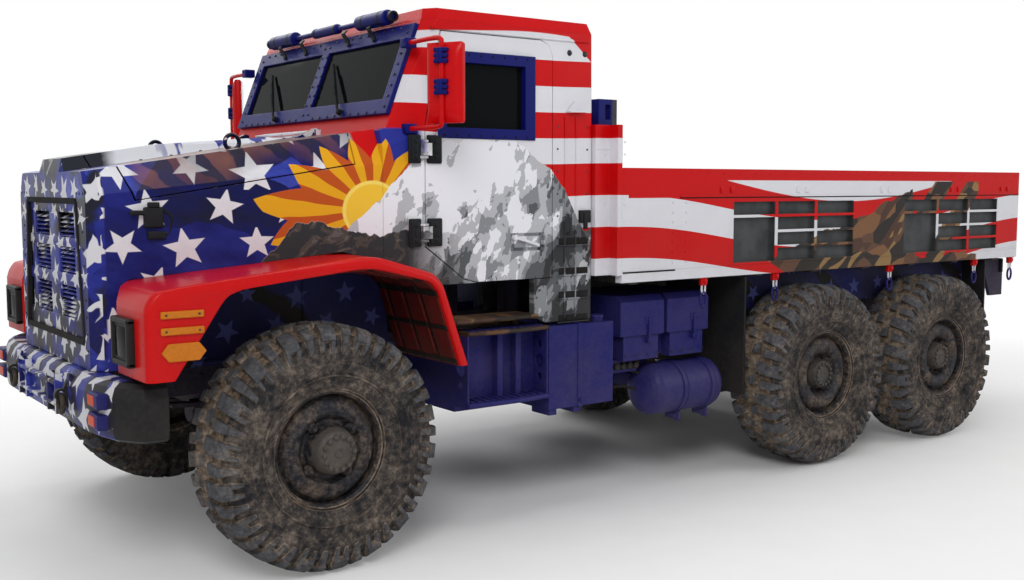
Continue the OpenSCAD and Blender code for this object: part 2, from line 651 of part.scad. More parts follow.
/* Bed */
sill_gap_x = [for (i = [0:7]) bed_x0 - 160 - i * (bed_x0 - floor_back - 320) / 7];
module bed_floor() placed() color([0.1, 0.1, 0.11]) {
  block(floor_back, bed_x0, -bed_in, bed_in, bed_floor_z, bed_floor_z + floor_t);
  for (x = sill_gap_x) block(x - 40, x + 40, -bed_in, bed_in, bed_bottom_z - 20, bed_floor_z);
  pair() block(rail_back + 20, bed_x0 - 20, rail_in, rail_y, rail_top, bed_bottom_z - 20);
  // Tailgate hinges: two lugs and a pin each
  for (y = gate_hinge_ys) {
    for (s = [-1, 1])
      side_plate([[gate_axis_x - 14, gate_axis_z - 8], [gate_axis_x - 8, gate_axis_z + 12],
                  [gate_axis_x + 8, gate_axis_z + 12], [floor_back + 10, gate_axis_z + 8],
                  [floor_back + 10, bed_floor_z], [gate_axis_x + 6, gate_axis_z - 15]],
                 y + s * 52 - 7, y + s * 52 + 7);
    rod_y(gate_axis_x, gate_axis_z, pin_r, y - 55, y + 55);
  }
}
// Pockets of a side board in two groups: each group starts with a tall pocket, and has four rows
// of x from the bed's front, z above the board's underside, as [x0, x1, z0, z1]
pocket_groups = [[[1045, 1480], [1510, 1920], [1950, 2380]], [[3030, 3470], [3500, 3920], [3950, 4370]]];
pocket_rows = [[90, 182], [202, 294], [314, 406], [426, 518]];
pockets = [
  for (g = pocket_groups) for (k = [0:2]) for (r = (k == 0) ? [3] : [0:3]) concat(g[k], pocket_rows[r]),
  for (g = pocket_groups) concat(g[0], [pocket_rows[0][0], pocket_rows[2][1]])
];
module bed_sides() placed() color([0.75, 0.08, 0.08]) pair() difference() {
  block(bed_x1, bed_x0, bed_in, bed_y, bed_bottom_z, bed_top);
  for (p = pockets) block(bed_x0 - p[1], bed_x0 - p[0], bed_y - pocket_depth, bed_y + eps,
                          bed_bottom_z + p[2], bed_bottom_z + p[3]);
}
module bed_front() placed() color([0.75, 0.08, 0.08]) {
  block(bed_x0, bed_x0 + 40, -bed_y, bed_y, bed_bottom_z + 50, bed_top + 274);
  block(bed_x0 + 40, cab_back - 10, -bed_y + 80, bed_y - 80, bed_bottom_z + 50, bed_top + 274);
  // Lifting brackets with a slot each
  pair() difference() {
    block(bed_x0 - 45, bed_x0 + 110, 1060, 1140, bed_top + 273, bed_top + 440);
    block(bed_x0 + 10, bed_x0 + 55, 1059, 1141, bed_top + 310, bed_top + 405);
  }
}
module tailgate() placed() color([0.1, 0.12, 0.4]) {
  difference() {
    union() {
      block(gate_axis_x, gate_axis_x + gate_t, -bed_in + panel_gap, bed_in - panel_gap,
            bed_floor_z + floor_t + 4, bed_top);
      for (y = gate_hinge_ys) {
        rod_y(gate_axis_x, gate_axis_z, pin_r + 7, y - 38, y + 38);
        block(gate_axis_x - 4, gate_axis_x + 14, y - 38, y + 38, gate_axis_z, bed_floor_z + floor_t + 20);
      }
    }
    for (y = gate_hinge_ys) rod_y(gate_axis_x, gate_axis_z, pin_r + run_fit, y - 60, y + 60);
  }
}

/* Wheels */
module knuckle(side) placed() on_side(side) color([0.05, 0.06, 0.08]) difference() {
  union() {
    for (s = [-1, 1]) translate([0, 0, axle_z + s * 118])
      linear_extrude(56, center = true) hull() {
        translate([0, kingpin_y]) circle(r = 56);
        translate([-60, kingpin_y + 75]) square([120, 30]);
      }
    rod_y(0, axle_z, 165, kingpin_y + 78, kingpin_y + 108);
    rod_y(0, axle_z, stub_r, kingpin_y + 100, wheel_y + front_hub_out - 60);
  }
  rod_z(0, kingpin_y, kingpin_r + run_fit, axle_z - 200, axle_z + 200);
}
module tyre(x, side) placed() on_side(side) color([0.1, 0.1, 0.1])
  translate([x, wheel_y, axle_z]) rotate([-90, 0, 0]) rotate_extrude($fn = 96) {
    r0 = rim_d / 2 - 20;
    r1 = tyre_d / 2;
    h = tyre_w / 2;
    polygon([[r0, -h * 0.72], [r0 + 110, -h], [r1 - 90, -h * 0.98], [r1 - 12, -h * 0.86], [r1, -h * 0.7],
             [r1, h * 0.7], [r1 - 12, h * 0.86], [r1 - 90, h * 0.98], [r0 + 110, h], [r0, h * 0.72]]);
  }
module rim(x, side, hub_out) placed() on_side(side) color([0.2, 0.17, 0.14])
  translate([x, wheel_y, axle_z]) rotate([-90, 0, 0]) rotate_extrude($fn = 96) {
    r0 = rim_d / 2 - 20 - near_gap;
    h = tyre_w * 0.36;
    b = stub_r + run_fit;
    polygon([[r0, -h], [r0, h], [r0 - 24, h], [r0 - 40, hub_out * 0.35], [170, hub_out * 0.4],
             [150, hub_out * 0.75], [120, hub_out], [b, hub_out], [b, 0], [170, 0], [r0 - 40, -10], [r0 - 24, -h]]);
  }

frame_rails();
powertrain();
front_axle();
tandem_axles();
leaf_springs();
front_bumper();
tow_shackles();
hood_shell();
hood_lid();
grille();
fenders();
headlights();
cab_shell();
cab_roof();
windshield_frame();
windshield_glass();
rear_glass();
roof_bar();
mirrors();
dashboard();
seats();
door(1);  // door_left
door(-1);  // door_right
door_glass(1);  // door_glass_left
door_glass(-1);  // door_glass_right
step_boxes();
fuel_tanks();
battery_boxes();
air_tanks();
mudguards();
bed_floor();
bed_sides();
bed_front();
tailgate();
knuckle(1);  // knuckle_left
knuckle(-1);  // knuckle_right
tyre(0, 1);  // tyre_front_left
tyre(0, -1);  // tyre_front_right
tyre(x_mid, 1);  // tyre_middle_left
tyre(x_mid, -1);  // tyre_middle_right
tyre(x_rear, 1);  // tyre_rear_left
tyre(x_rear, -1);  // tyre_rear_right
rim(0, 1, front_hub_out);  // rim_front_left
rim(0, -1, front_hub_out);  // rim_front_right
rim(x_mid, 1, tandem_hub_out);  // rim_middle_left
rim(x_mid, -1, tandem_hub_out);  // rim_middle_right
rim(x_rear, 1, tandem_hub_out);  // rim_rear_left
rim(x_rear, -1, tandem_hub_out);  // rim_rear_right
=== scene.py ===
"""Looks of the decorated six-wheel-drive truck, built around its packed frame."""
import json
import math

import bmesh
import bpy
import numpy as np
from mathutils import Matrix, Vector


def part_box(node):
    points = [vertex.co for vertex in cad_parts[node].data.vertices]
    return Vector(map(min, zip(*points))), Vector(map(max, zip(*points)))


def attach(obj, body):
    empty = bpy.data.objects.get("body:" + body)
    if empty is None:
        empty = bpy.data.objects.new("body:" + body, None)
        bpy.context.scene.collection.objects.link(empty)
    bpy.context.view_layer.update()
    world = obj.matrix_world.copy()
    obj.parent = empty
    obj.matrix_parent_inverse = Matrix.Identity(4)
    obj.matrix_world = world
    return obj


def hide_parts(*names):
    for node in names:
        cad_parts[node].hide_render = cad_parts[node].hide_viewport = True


bl_info = {
    "name": "Decorated Six-Wheel Truck",
    "version": (1, 0, 0),
    "blender": (4, 5, 0),
    "location": "3D View > Sidebar > Truck",
    "description": "Livery, tyres, lamps, fittings and studio of a decorated truck",
    "category": "Object",
}

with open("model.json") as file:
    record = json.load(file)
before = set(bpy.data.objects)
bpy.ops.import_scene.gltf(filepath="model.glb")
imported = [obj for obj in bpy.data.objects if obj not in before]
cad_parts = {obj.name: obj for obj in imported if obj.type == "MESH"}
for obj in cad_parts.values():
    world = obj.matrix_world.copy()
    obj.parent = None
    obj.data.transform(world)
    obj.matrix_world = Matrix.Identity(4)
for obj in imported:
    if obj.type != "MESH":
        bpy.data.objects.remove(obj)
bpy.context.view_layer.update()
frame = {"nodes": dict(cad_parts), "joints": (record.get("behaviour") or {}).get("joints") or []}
JOINTS = {joint["name"]: joint for joint in frame["joints"]}
BOX = {name: tuple(np.array(c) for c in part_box(name)) for name in frame["nodes"]}
AXLE_X, WHEEL_Y, AXLE_Z = JOINTS["roll_front_left"]["pos_m"]
SIDES = (("left", 1), ("right", -1))
rng = np.random.default_rng(7)


# ---------------------------------------------------------------- sizes and colours

def colour_property(name, description, code):
    """A colour picker whose default is a web colour code, turned to scene-linear light."""
    return bpy.props.FloatVectorProperty(
        name=name, description=description, subtype="COLOR", size=3, min=0, max=1, default=linear(code)
    )


def linear(code):
    """Web colour code to scene-linear red, green, blue: each channel through the sRGB curve."""
    channels = [int(code[i : i + 2], 16) / 255 for i in (1, 3, 5)]
    return tuple(c / 12.92 if c <= 0.04045 else ((c + 0.055) / 1.055) ** 2.4 for c in channels)


class TruckPaints(bpy.types.PropertyGroup):
    red: colour_property("Red", "Red of the stripes, flares, roof and mirrors", "#C4070D")
    white: colour_property("White", "White of stars and stripes", "#DCDCE2")
    blue: colour_property("Blue", "Middle blue of the star field", "#262F8C")
    bright_blue: colour_property("Bright blue", "Light patches of the star field", "#4657B8")
    night_blue: colour_property("Night blue", "Dark patches of the star field", "#0D1130")
    navy: colour_property("Navy", "Blue of frames, tanks and boxes", "#0E1460")
    chassis: colour_property("Chassis", "Blue-black of the frame and axles", "#11163A")
    charcoal: colour_property("Charcoal", "Darkest paint of the mountain picture", "#303236")
    gold: colour_property("Gold", "Sun rays of the mountain picture", "#E0A21C")
    orange: colour_property("Orange", "Deeper sun rays of the mountain picture", "#B8501C")
    brown: colour_property("Brown", "Brown of the shard camouflage", "#5E4234")
    tan: colour_property("Tan", "Light brown of the shard camouflage", "#8E7048")
    mud: colour_property("Mud", "Dried mud on the wheels", "#6E6052")
    amber: colour_property("Amber", "Side markers", "#C8741A")


class TruckSizes(bpy.types.PropertyGroup):
    star_radius: bpy.props.FloatProperty(
        name="Star radius", description="Centre to tip of a star on the hood", default=0.112, unit="LENGTH")
    star_step: bpy.props.FloatProperty(
        name="Star step", description="Distance between stars in a row", default=0.36, unit="LENGTH")
    flare_edge: bpy.props.FloatProperty(
        name="Flare edge", description="Radius of a fender flare's outer edge", default=0.042, unit="LENGTH")
    lug_height: bpy.props.FloatProperty(
        name="Lug height", description="Height of the tread blocks", default=0.036, unit="LENGTH")
    lug_count: bpy.props.IntProperty(
        name="Lugs", description="Shoulder lugs around each side of a tyre", default=18, min=12)
    bolt_radius: bpy.props.FloatProperty(
        name="Bolt radius", description="Radius of small bolt heads", default=0.011, unit="LENGTH")
    soft_edge: bpy.props.FloatProperty(
        name="Soft edge", description="Rounding that panel edges show", default=0.007, unit="LENGTH")


def paints():
    return bpy.context.scene.truck_paints


def sizes():
    return bpy.context.scene.truck_sizes


# ---------------------------------------------------------------- surfaces

def grid_faces(rows, cols, wrap_rows=False, wrap_cols=False):
    """Quads of a grid of points: each joins a point, its right, upper-right and upper neighbour."""
    i = np.arange(rows if wrap_rows else rows - 1)[:, None]
    j = np.arange(cols if wrap_cols else cols - 1)[None, :]
    i2, j2 = (i + 1) % rows, (j + 1) % cols
    corners = [i * cols + j, i * cols + j2, i2 * cols + j2, i2 * cols + j]
    return np.stack([np.broadcast_to(c, (i.size, j.size)).ravel() for c in corners], axis=1)


def surface(points, wrap_rows=False, wrap_cols=False, caps=False):
    """A grid of points, shape (rows, cols, 3), as a mesh part; caps close its first and last row."""
    rows, cols, _ = points.shape
    faces = [grid_faces(rows, cols, wrap_rows, wrap_cols)]
    if caps:
        faces.append(np.arange(cols)[None, ::-1])
        faces.append((rows - 1) * cols + np.arange(cols)[None, :])
    return points.reshape(-1, 3), faces


def merge(parts):
    """Several mesh parts as one: their points in a row, their faces renumbered."""
    points, faces, start = [], [], 0
    for part_points, part_faces in parts:
        points.append(part_points)
        faces += [f + start for f in part_faces]
        start += len(part_points)
    return np.concatenate(points), faces


def moved(part, turn=None, shift=(0, 0, 0)):
    """Each point times a turn matrix, plus a shift."""
    points, faces = part
    points = points if turn is None else points @ np.asarray(turn).T
    return points + np.asarray(shift, float), faces


def turn_about(axis, degrees):
    """Rotation matrix about the x, y or z axis by the right-hand rule."""
    c, s = math.cos(math.radians(degrees)), math.sin(math.radians(degrees))
    return np.array({"x": [[1, 0, 0], [0, c, -s], [0, s, c]], "y": [[c, 0, s], [0, 1, 0], [-s, 0, c]],
                     "z": [[c, -s, 0], [s, c, 0], [0, 0, 1]]}[axis])


def mirrored(part, side):
    """The part for a side: y is multiplied by the side, and a mirrored part's faces turn round."""
    points, faces = part
    if side == 1:
        return part
    return points * [1, -1, 1], [f[:, ::-1] for f in faces]


def rounded_box(low, high, radius=0.004, steps=3):
    """A box with rounded edges: a cube's surface points, kept within a core box that is a radius
    smaller, plus the radius along the direction in which they leave the core."""
    low, high = np.asarray(low, float), np.asarray(high, float)
    half = (high - low) / 2
    radius = min(radius, half.min() * 0.95)
    arc = np.linspace(1, 0.5, steps)
    ticks = np.concatenate([-arc, arc[::-1]])
    n = len(ticks)
    u, v = np.meshgrid(ticks, ticks, indexing="ij")
    one = np.ones_like(u)
    sides = [(one, u, v), (-one, v, u), (v, one, u), (u, -one, v), (u, v, one), (v, u, -one)]
    parts = []
    for s in sides:
        q = np.stack(s, axis=-1)
        core = np.sign(q) * np.minimum(np.abs(q), 0.5) * 2
        out = q - core / 2
        length = np.linalg.norm(out, axis=-1, keepdims=True)
        p = core * (half - radius) + radius * out / np.maximum(length, 1e-9)
        parts.append(surface(p + (low + high) / 2))
    return merge(parts)


def block(x, y, z, radius=0.004, steps=3):
    """A rounded box from its three ranges."""
    return rounded_box((x[0], y[0], z[0]), (x[1], y[1], z[1]), radius, steps)


def revolve(profile, centre, axis="y", segments=48, start=0.0):
    """Profile points (distance along the axis, radius) carried round the axis."""
    profile = np.asarray(profile, float)
    angle = start + np.linspace(0, 2 * math.pi, segments, endpoint=False)[:, None]
    along = np.broadcast_to(profile[:, 0], (segments, len(profile)))
    a, b = profile[:, 1] * np.cos(angle), profile[:, 1] * np.sin(angle)
    order = {"x": (along, a, b), "y": (b, along, a), "z": (a, b, along)}[axis]
    return surface(np.stack(order, axis=-1) + np.asarray(centre, float), wrap_rows=True)


def bolt(centre, axis="y", side=1, radius=None, height=0.008, sides=12):
    """A domed bolt head: a short profile of falling radius carried round its axis."""
    r = radius or sizes().bolt_radius
    profile = [(0, r), (side * height * 0.6, r), (side * height, r * 0.72), (side * height * 1.05, 0.0005)]
    return revolve(profile, centre, axis, sides)


def hex_bolt(centre, axis="y", side=1, radius=0.016, height=0.014):
    """A hexagonal head on a washer: six-sided profile over a round one."""
    washer = revolve([(0, radius * 1.35), (side * 0.003, radius * 1.35), (side * 0.003, 0.001)], centre, axis, 16)
    head = revolve([(0.001 * side, radius), (side * height * 0.85, radius), (side * height, radius * 0.82),
                    (side * height, 0.001)], centre, axis, 6)
    return merge([washer, head])


def resample(points, count):
    """Points spaced evenly along a polyline, by interpolation over its running length."""
    points = np.asarray(points, float)
    run = np.concatenate([[0], np.cumsum(np.linalg.norm(np.diff(points, axis=0), axis=1))])
    at = np.linspace(0, run[-1], count)
    return np.stack([np.interp(at, run, points[:, k]) for k in range(points.shape[1])], axis=1)


def soften(points, rounds=2, share=0.2):
    """Corner cutting: each corner of an open polyline becomes two points at a share of its legs."""
    p = np.asarray(points, float)
    for _ in range(rounds):
        a, b = p[:-1], p[1:]
        cut = np.stack([a + (b - a) * share, b - (b - a) * share], axis=1).reshape(-1, p.shape[1])
        p = np.concatenate([p[:1], cut[1:-1], p[-1:]])
    return p


def carried(profile, path, closed=False, up=(0, 0, 1), caps=True):
    """A profile of (sideways, upwards) points carried along a path: sideways is the cross product
    of the path's direction with up, and upwards is square to both."""
    path, profile = np.asarray(path, float), np.asarray(profile, float)
    ahead = np.roll(path, -1, 0) - np.roll(path, 1, 0) if closed else np.gradient(path, axis=0)
    ahead /= np.linalg.norm(ahead, axis=1, keepdims=True)
    sideways = np.cross(ahead, np.broadcast_to(up, ahead.shape))
    sideways /= np.maximum(np.linalg.norm(sideways, axis=1, keepdims=True), 1e-9)
    upward = np.cross(sideways, ahead)
    points = path[:, None] + profile[None, :, :1] * sideways[:, None] + profile[None, :, 1:] * upward[:, None]
    return surface(points, wrap_rows=closed, wrap_cols=True, caps=caps and not closed)


def round_profile(radius, sides=12):
    """A circle of points."""
    a = np.linspace(0, 2 * math.pi, sides, endpoint=False)
    return np.stack([radius * np.cos(a), radius * np.sin(a)], axis=1)


def tube(path, radius, sides=12, closed=False, up=(0, 0, 1)):
    """A round bar along a path."""
    return carried(round_profile(radius, sides), path, closed, up)


def plate(outline, y0, y1):
    """A flat plate from a side outline of (x, z) points between two values of y."""
    outline = np.asarray(outline, float)
    rows = [np.stack([outline[:, 0], np.full(len(outline), y), outline[:, 1]], axis=1) for y in (y0, y1)]
    return surface(np.stack(rows), wrap_cols=True, caps=True)


def ring_path(centre, radius, count=40, axis="x", start=0.0, squash=1.0):
    """Points round an ellipse about an axis."""
    a = start + np.linspace(0, 2 * math.pi, count, endpoint=False)
    c, s, o = radius * np.cos(a), radius * squash * np.sin(a), np.zeros(count)
    return np.asarray(centre) + np.stack({"x": (o, c, s), "y": (c, o, s), "z": (c, s, o)}[axis], axis=1)


def piece(name, parts, material, body="chassis", replaces=(), bevel=0, smooth=35, wear=None):
    """Puts mesh parts into one object that rides on a body, with merged doubles and outward faces."""
    points, faces = merge(parts)
    mesh = bpy.data.meshes.new(name)
    mesh.from_pydata(points.tolist(), [], [f for group in faces for f in group.tolist()])
    if wear is not None:
        layer = mesh.attributes.new("wear", "FLOAT", "POINT")
        layer.data.foreach_set("value", np.asarray(wear, np.float32))
    build = bmesh.new()
    build.from_mesh(mesh)
    bmesh.ops.remove_doubles(build, verts=build.verts, dist=1e-5)
    bmesh.ops.recalc_face_normals(build, faces=build.faces)
    build.to_mesh(mesh)
    build.free()
    mesh.shade_smooth()
    mesh.set_sharp_from_angle(angle=math.radians(smooth))
    mesh.materials.append(material)
    thing = bpy.data.objects.new(name, mesh)
    bpy.context.scene.collection.objects.link(thing)
    if bevel:
        edge = thing.modifiers.new("Edge", "BEVEL")
        edge.width = bevel
        edge.segments = 2
        edge.limit_method = "ANGLE"
        edge.harden_normals = True
    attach(thing, body)
    if replaces:
        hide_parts(*replaces)
    return thing


def finish_node(name, material):
    """Gives a CAD node's own mesh a material."""
    mesh = frame["nodes"][name].data
    mesh.materials.clear()
    mesh.materials.append(material)


# ---------------------------------------------------------------- shader graphs

class Wire:
    """A value in a shader graph. Arithmetic on wires adds Math nodes."""

    def __init__(self, graph, socket):
        self.graph, self.socket = graph, socket

    def __add__(self, other):
        return self.graph.math("ADD", self, other)

    def __sub__(self, other):
        return self.graph.math("SUBTRACT", self, other)

    def __rsub__(self, other):
        return self.graph.math("SUBTRACT", other, self)

    def __mul__(self, other):
        return self.graph.math("MULTIPLY", self, other)

    def __truediv__(self, other):
        return self.graph.math("DIVIDE", self, other)

    def __gt__(self, other):
        return self.graph.math("GREATER_THAN", self, other)

    def __lt__(self, other):
        return self.graph.math("LESS_THAN", self, other)

    __radd__ = __add__
    __rmul__ = __mul__


class Graph:
    """Short calls that add nodes to a shader tree."""

    def __init__(self, tree):
        self.tree = tree

    def node(self, kind, **settings):
        made = self.tree.nodes.new(kind)
        for key, value in settings.items():
            setattr(made, key, value)
        return made

    def feed(self, socket, value):
        if isinstance(value, Wire):
            self.tree.links.new(value.socket, socket)
        elif isinstance(value, (tuple, list)) and len(value) == 3 and socket.type == "RGBA":
            socket.default_value = (*value, 1)
        else:
            socket.default_value = value

    def math(self, operation, *values, clamp=False):
        made = self.node("ShaderNodeMath", operation=operation, use_clamp=clamp)
        for socket, value in zip(made.inputs, values):
            self.feed(socket, value)
        return Wire(self, made.outputs[0])

    def absolute(self, value):
        return self.math("ABSOLUTE", value)

    def low(self, a, b):
        return self.math("MINIMUM", a, b)

    def high(self, a, b):
        return self.math("MAXIMUM", a, b)

    def edge(self, value, width=0.004):
        """0 below minus half the width, 1 above plus half, straight between."""
        return self.math("MULTIPLY_ADD", value, 1 / width, 0.5, clamp=True)

    def blend(self, factor, a, b):
        made = self.node("ShaderNodeMix", data_type="RGBA")
        for index, value in ((0, factor), (6, a), (7, b)):
            self.feed(made.inputs[index], value)
        return Wire(self, made.outputs[2])

    def shade(self, colour, factor):
        """Colour times a value."""
        made = self.node("ShaderNodeVectorMath", operation="SCALE")
        self.feed(made.inputs[0], colour)
        self.feed(made.inputs["Scale"], factor)
        return Wire(self, made.outputs[0])

    def join(self, x, y, z=0.0):
        made = self.node("ShaderNodeCombineXYZ")
        for socket, value in zip(made.inputs, (x, y, z)):
            self.feed(socket, value)
        return Wire(self, made.outputs[0])

    def split(self, vector):
        made = self.node("ShaderNodeSeparateXYZ")
        self.feed(made.inputs[0], vector)
        return [Wire(self, made.outputs[k]) for k in range(3)]

    def noise(self, vector, scale, detail=3.0, roughness=0.5, distortion=0.0):
        made = self.node("ShaderNodeTexNoise")
        for key, value in (("Vector", vector), ("Scale", scale), ("Detail", detail),
                           ("Roughness", roughness), ("Distortion", distortion)):
            self.feed(made.inputs[key], value)
        return Wire(self, made.outputs["Fac"])

    def cells(self, vector, scale, feature="F1", output="Distance"):
        made = self.node("ShaderNodeTexVoronoi", feature=feature)
        self.feed(made.inputs["Vector"], vector)
        self.feed(made.inputs["Scale"], scale)
        return Wire(self, made.outputs[output])

    def chance(self, vector):
        made = self.node("ShaderNodeTexWhiteNoise", noise_dimensions="3D")
        self.feed(made.inputs["Vector"], vector)
        return Wire(self, made.outputs["Value"])

    def ramp(self, factor, stops, interpolation="LINEAR"):
        made = self.node("ShaderNodeValToRGB")
        ramp = made.color_ramp
        ramp.interpolation = interpolation
        while len(ramp.elements) < len(stops):
            ramp.elements.new(0.5)
        for element, (place, colour) in zip(ramp.elements, stops):
            element.position = place
            element.color = (*colour, 1) if len(colour) == 3 else colour
        self.feed(made.inputs[0], factor)
        return Wire(self, made.outputs[0])

    def effect(self, tree, **inputs):
        """Places a node group and returns its outputs by name."""
        made = self.node("ShaderNodeGroup", node_tree=tree)
        for key, value in inputs.items():
            self.feed(made.inputs[key.replace("_", " ")], value)
        return {out.name: Wire(self, out) for out in made.outputs}


SOCKETS = {"value": "NodeSocketFloat", "vector": "NodeSocketVector", "colour": "NodeSocketColor"}


def shader_group(name, inputs, outputs, fill):
    """A node group made once: fill(graph, inputs by name) returns its outputs by name."""
    if name in bpy.data.node_groups:
        return bpy.data.node_groups[name]
    tree = bpy.data.node_groups.new(name, "ShaderNodeTree")
    for key, (kind, default) in inputs.items():
        socket = tree.interface.new_socket(key, in_out="INPUT", socket_type=SOCKETS[kind])
        if default is not None:
            socket.default_value = (*default, 1) if kind == "colour" else default
    for key, kind in outputs.items():
        tree.interface.new_socket(key, in_out="OUTPUT", socket_type=SOCKETS[kind])
    graph = Graph(tree)
    source, target = graph.node("NodeGroupInput"), graph.node("NodeGroupOutput")
    results = fill(graph, {out.name: Wire(graph, out) for out in source.outputs if out.name})
    for key, wire in results.items():
        tree.links.new(wire.socket, target.inputs[key])
    return tree


def star_field():
    """Five-pointed stars in staggered rows: each cell's point, turned by a random angle, is folded
    into one tenth of the star, whose edge is the straight line from a tip to the next notch."""
    def fill(g, i):
        u, v, _ = g.split(i["Place"])
        row = g.math("FLOOR", v / i["Row step"])
        across = u / i["Step"] + g.math("MODULO", g.absolute(row), 2.0) * 0.5
        column = g.math("FLOOR", across)
        luck = g.chance(g.join(column, row, 1.0))
        luck2 = g.chance(g.join(column, row, 5.0))
        a = (g.math("FRACT", across) - 0.5 + (luck - 0.5) * 0.16) * i["Step"]
        b = (g.math("FRACT", v / i["Row step"]) - 0.5 + (luck2 - 0.5) * 0.2) * i["Row step"]
        radius = i["Radius"] * (0.84 + luck2 * 0.3)
        reach = g.math("SQRT", a * a + b * b)
        angle = g.math("ARCTAN2", a, b) + (luck - 0.5) * 0.9 + i["Tilt"]
        fifth = 2 * math.pi / 5
        fold = g.absolute(g.math("WRAP", angle, fifth / 2, -fifth / 2))
        x, y = reach * g.math("COSINE", fold), reach * g.math("SINE", fold)
        notch = 0.43
        nx, ny = notch * math.sin(math.pi / 5), 1 - notch * math.cos(math.pi / 5)
        size = math.hypot(nx, ny)
        inside = ((radius - x) * nx - y * ny) / size
        return {"Mask": g.edge(inside, 0.004)}

    return shader_group("Star Field", {
        "Place": ("vector", None), "Radius": ("value", 0.1), "Step": ("value", 0.36),
        "Row step": ("value", 0.2), "Tilt": ("value", 0.2)}, {"Mask": "value"}, fill)


def blue_ground():
    """Painted blue ground: warped cells pick one of four blues, and long soft streaks lighten them."""
    def fill(g, i):
        p = paints()
        warp = g.noise(i["Place"], 1.7, 2.0)
        x, y, z = g.split(i["Place"])
        place = g.join(x + warp * 0.5, y + warp * 0.3, z - warp * 0.6)
        pick, _, _ = g.split(g.cells(place, 2.6, output="Color"))
        soft = g.noise(g.join(x * 0.7 + z, y, z * 2.2 - x), 2.4, 4.0, 0.6)
        tone = pick * 0.55 + soft * 0.5
        colour = g.ramp(tone, [(0.16, tuple(p.night_blue)), (0.36, tuple(p.navy)), (0.55, tuple(p.blue)),
                               (0.70, tuple(p.blue)), (0.86, tuple(p.bright_blue))])
        return {"Color": colour}

    return shader_group("Blue Ground", {"Place": ("vector", None)}, {"Color": "colour"}, fill)


def waving_stripes():
    """Stripes along the truck: their height is a stepped scale of z, wider below the window line,
    sunk behind the cab by a slow cosine; odd steps are white."""
    def fill(g, i):
        x, _, z = g.split(i["Place"])
        back = g.low(x + 1.9, 0.0)
        sway = (g.math("COSINE", back * (2 * math.pi / 5.6)) - 1.0) * 0.11
        ripple = g.math("SINE", x * 3.1) * 0.012
        height = z - sway + ripple
        upper = (2.855 - height) / 0.16
        lower = (2.215 - height) / 0.2045 + 4.0
        step = g.blend(height > 2.215, lower, upper)
        step, _, _ = g.split(step)
        near = g.math("PINGPONG", step, 1.0)
        band = g.math("MODULO", g.math("FLOOR", g.high(step, 0.0)), 2.0)
        white = g.high(band, step < 0.0)
        return {"White": white, "Line": near}

    return shader_group("Waving Stripes", {"Place": ("vector", None)}, {"White": "value", "Line": "value"}, fill)


def snow_range():
    """A snowy range under a rising sun. The crest is an arc over x with fractal teeth; below it a
    stretched fractal, raised with depth, picks white, greys or charcoal. Rays fan out from a point."""
    def fill(g, i):
        p = paints()
        x, _, z = g.split(i["Place"])
        teeth = (g.noise(g.join(x, 0.0, 3.3), 3.4, 6.0, 0.55) - 0.5) * 0.26
        rear = g.high((x + 1.25) / -0.75, 0.0)
        front = g.high((x + 0.95) / 0.6, 0.0)
        crest = 2.365 - rear * rear * 0.62 - g.math("POWER", front, 1.5) * 0.5 + teeth
        depth = crest - z
        slope = g.join(x * 1.5 + z * 0.75, 0.0, z * 0.95 - x * 0.45)
        streak = g.noise(slope, 2.6, 4.0, 0.58, 0.25)
        jag = g.noise(slope, 9.0, 3.0, 0.6) * 0.30
        facet, _, _ = g.split(g.cells(g.join(x * 2.3 + z * 1.0 + jag, 0.0, z * 1.15 - x * 0.5 + jag), 5.0, output="Color"))
        tone = (streak * 0.74 + facet * 0.20 + g.high(depth - 0.10, 0.0) * 0.14 + g.high(2.05 - z, 0.0) * 0.16
                + g.high((x + 1.42) / -0.5, 0.0) * 0.16 + 0.035)
        ground = g.ramp(tone, [(0.0, linear("#E6E6EC")), (0.58, linear("#B4B5BA")), (0.645, linear("#85878C")),
                               (0.72, linear("#55585D")), (0.79, tuple(p.charcoal))], "CONSTANT")
        hills_top = 1.80 + (g.noise(g.join(x, 0.0, 8.1), 4.5, 5.0) - 0.5) * 0.34 - g.high(x - 0.02, 0.0) * 1.3
        hill_tone = g.noise(g.join(x * 1.5 + z, 0.0, z * 1.6), 5.0, 5.0, 0.6, 1.4)
        hills = g.ramp(hill_tone, [(0.0, tuple(p.charcoal)), (0.52, linear("#4A4440")), (0.60, linear("#5E5A58")),
                                   (0.68, linear("#232427"))], "CONSTANT")
        hill_mask = g.edge(hills_top - z, 0.005)
        range_mask = g.edge(depth, 0.005)
        colour = g.blend(hill_mask * g.edge(x + 0.85, 0.4), ground, hills)
        dx, dz = x + 0.44, z - 1.93
        reach = g.math("SQRT", dx * dx + dz * dz)
        angle = g.math("ARCTAN2", dz, dx)
        fan = g.math("SINE", angle * 15.0 + g.noise(g.join(x, 0.0, z), 3.0, 2.0) * 2.0)
        tips = 0.50 + g.math("PINGPONG", angle * 15.0 / math.pi + 0.5, 1.0) * 0.2
        ray_mask = g.edge(tips - reach - g.high(dz, 0.0) * 0.7 - g.high(dz * -1.0, 0.0) * 0.6, 0.006)
        rays = g.blend(g.edge(fan, 0.12), tuple(p.orange), tuple(p.gold))
        disc = g.edge(0.17 - reach, 0.006)
        rays = g.blend(disc, rays, linear("#F2D566"))
        rays = g.blend(g.edge(0.15 - reach, 0.006), rays, linear("#ECBE3A"))
        sky = g.blend(g.high(range_mask, hill_mask * g.edge(0.3 - x, 0.3)), rays, colour)
        mask = g.high(g.high(range_mask, ray_mask), hill_mask * g.edge(0.22 - x, 0.005))
        return {"Color": sky, "Mask": mask * g.edge(x + 2.6, 0.01)}

    return shader_group("Snow Range", {"Place": ("vector", None)}, {"Color": "colour", "Mask": "value"}, fill)


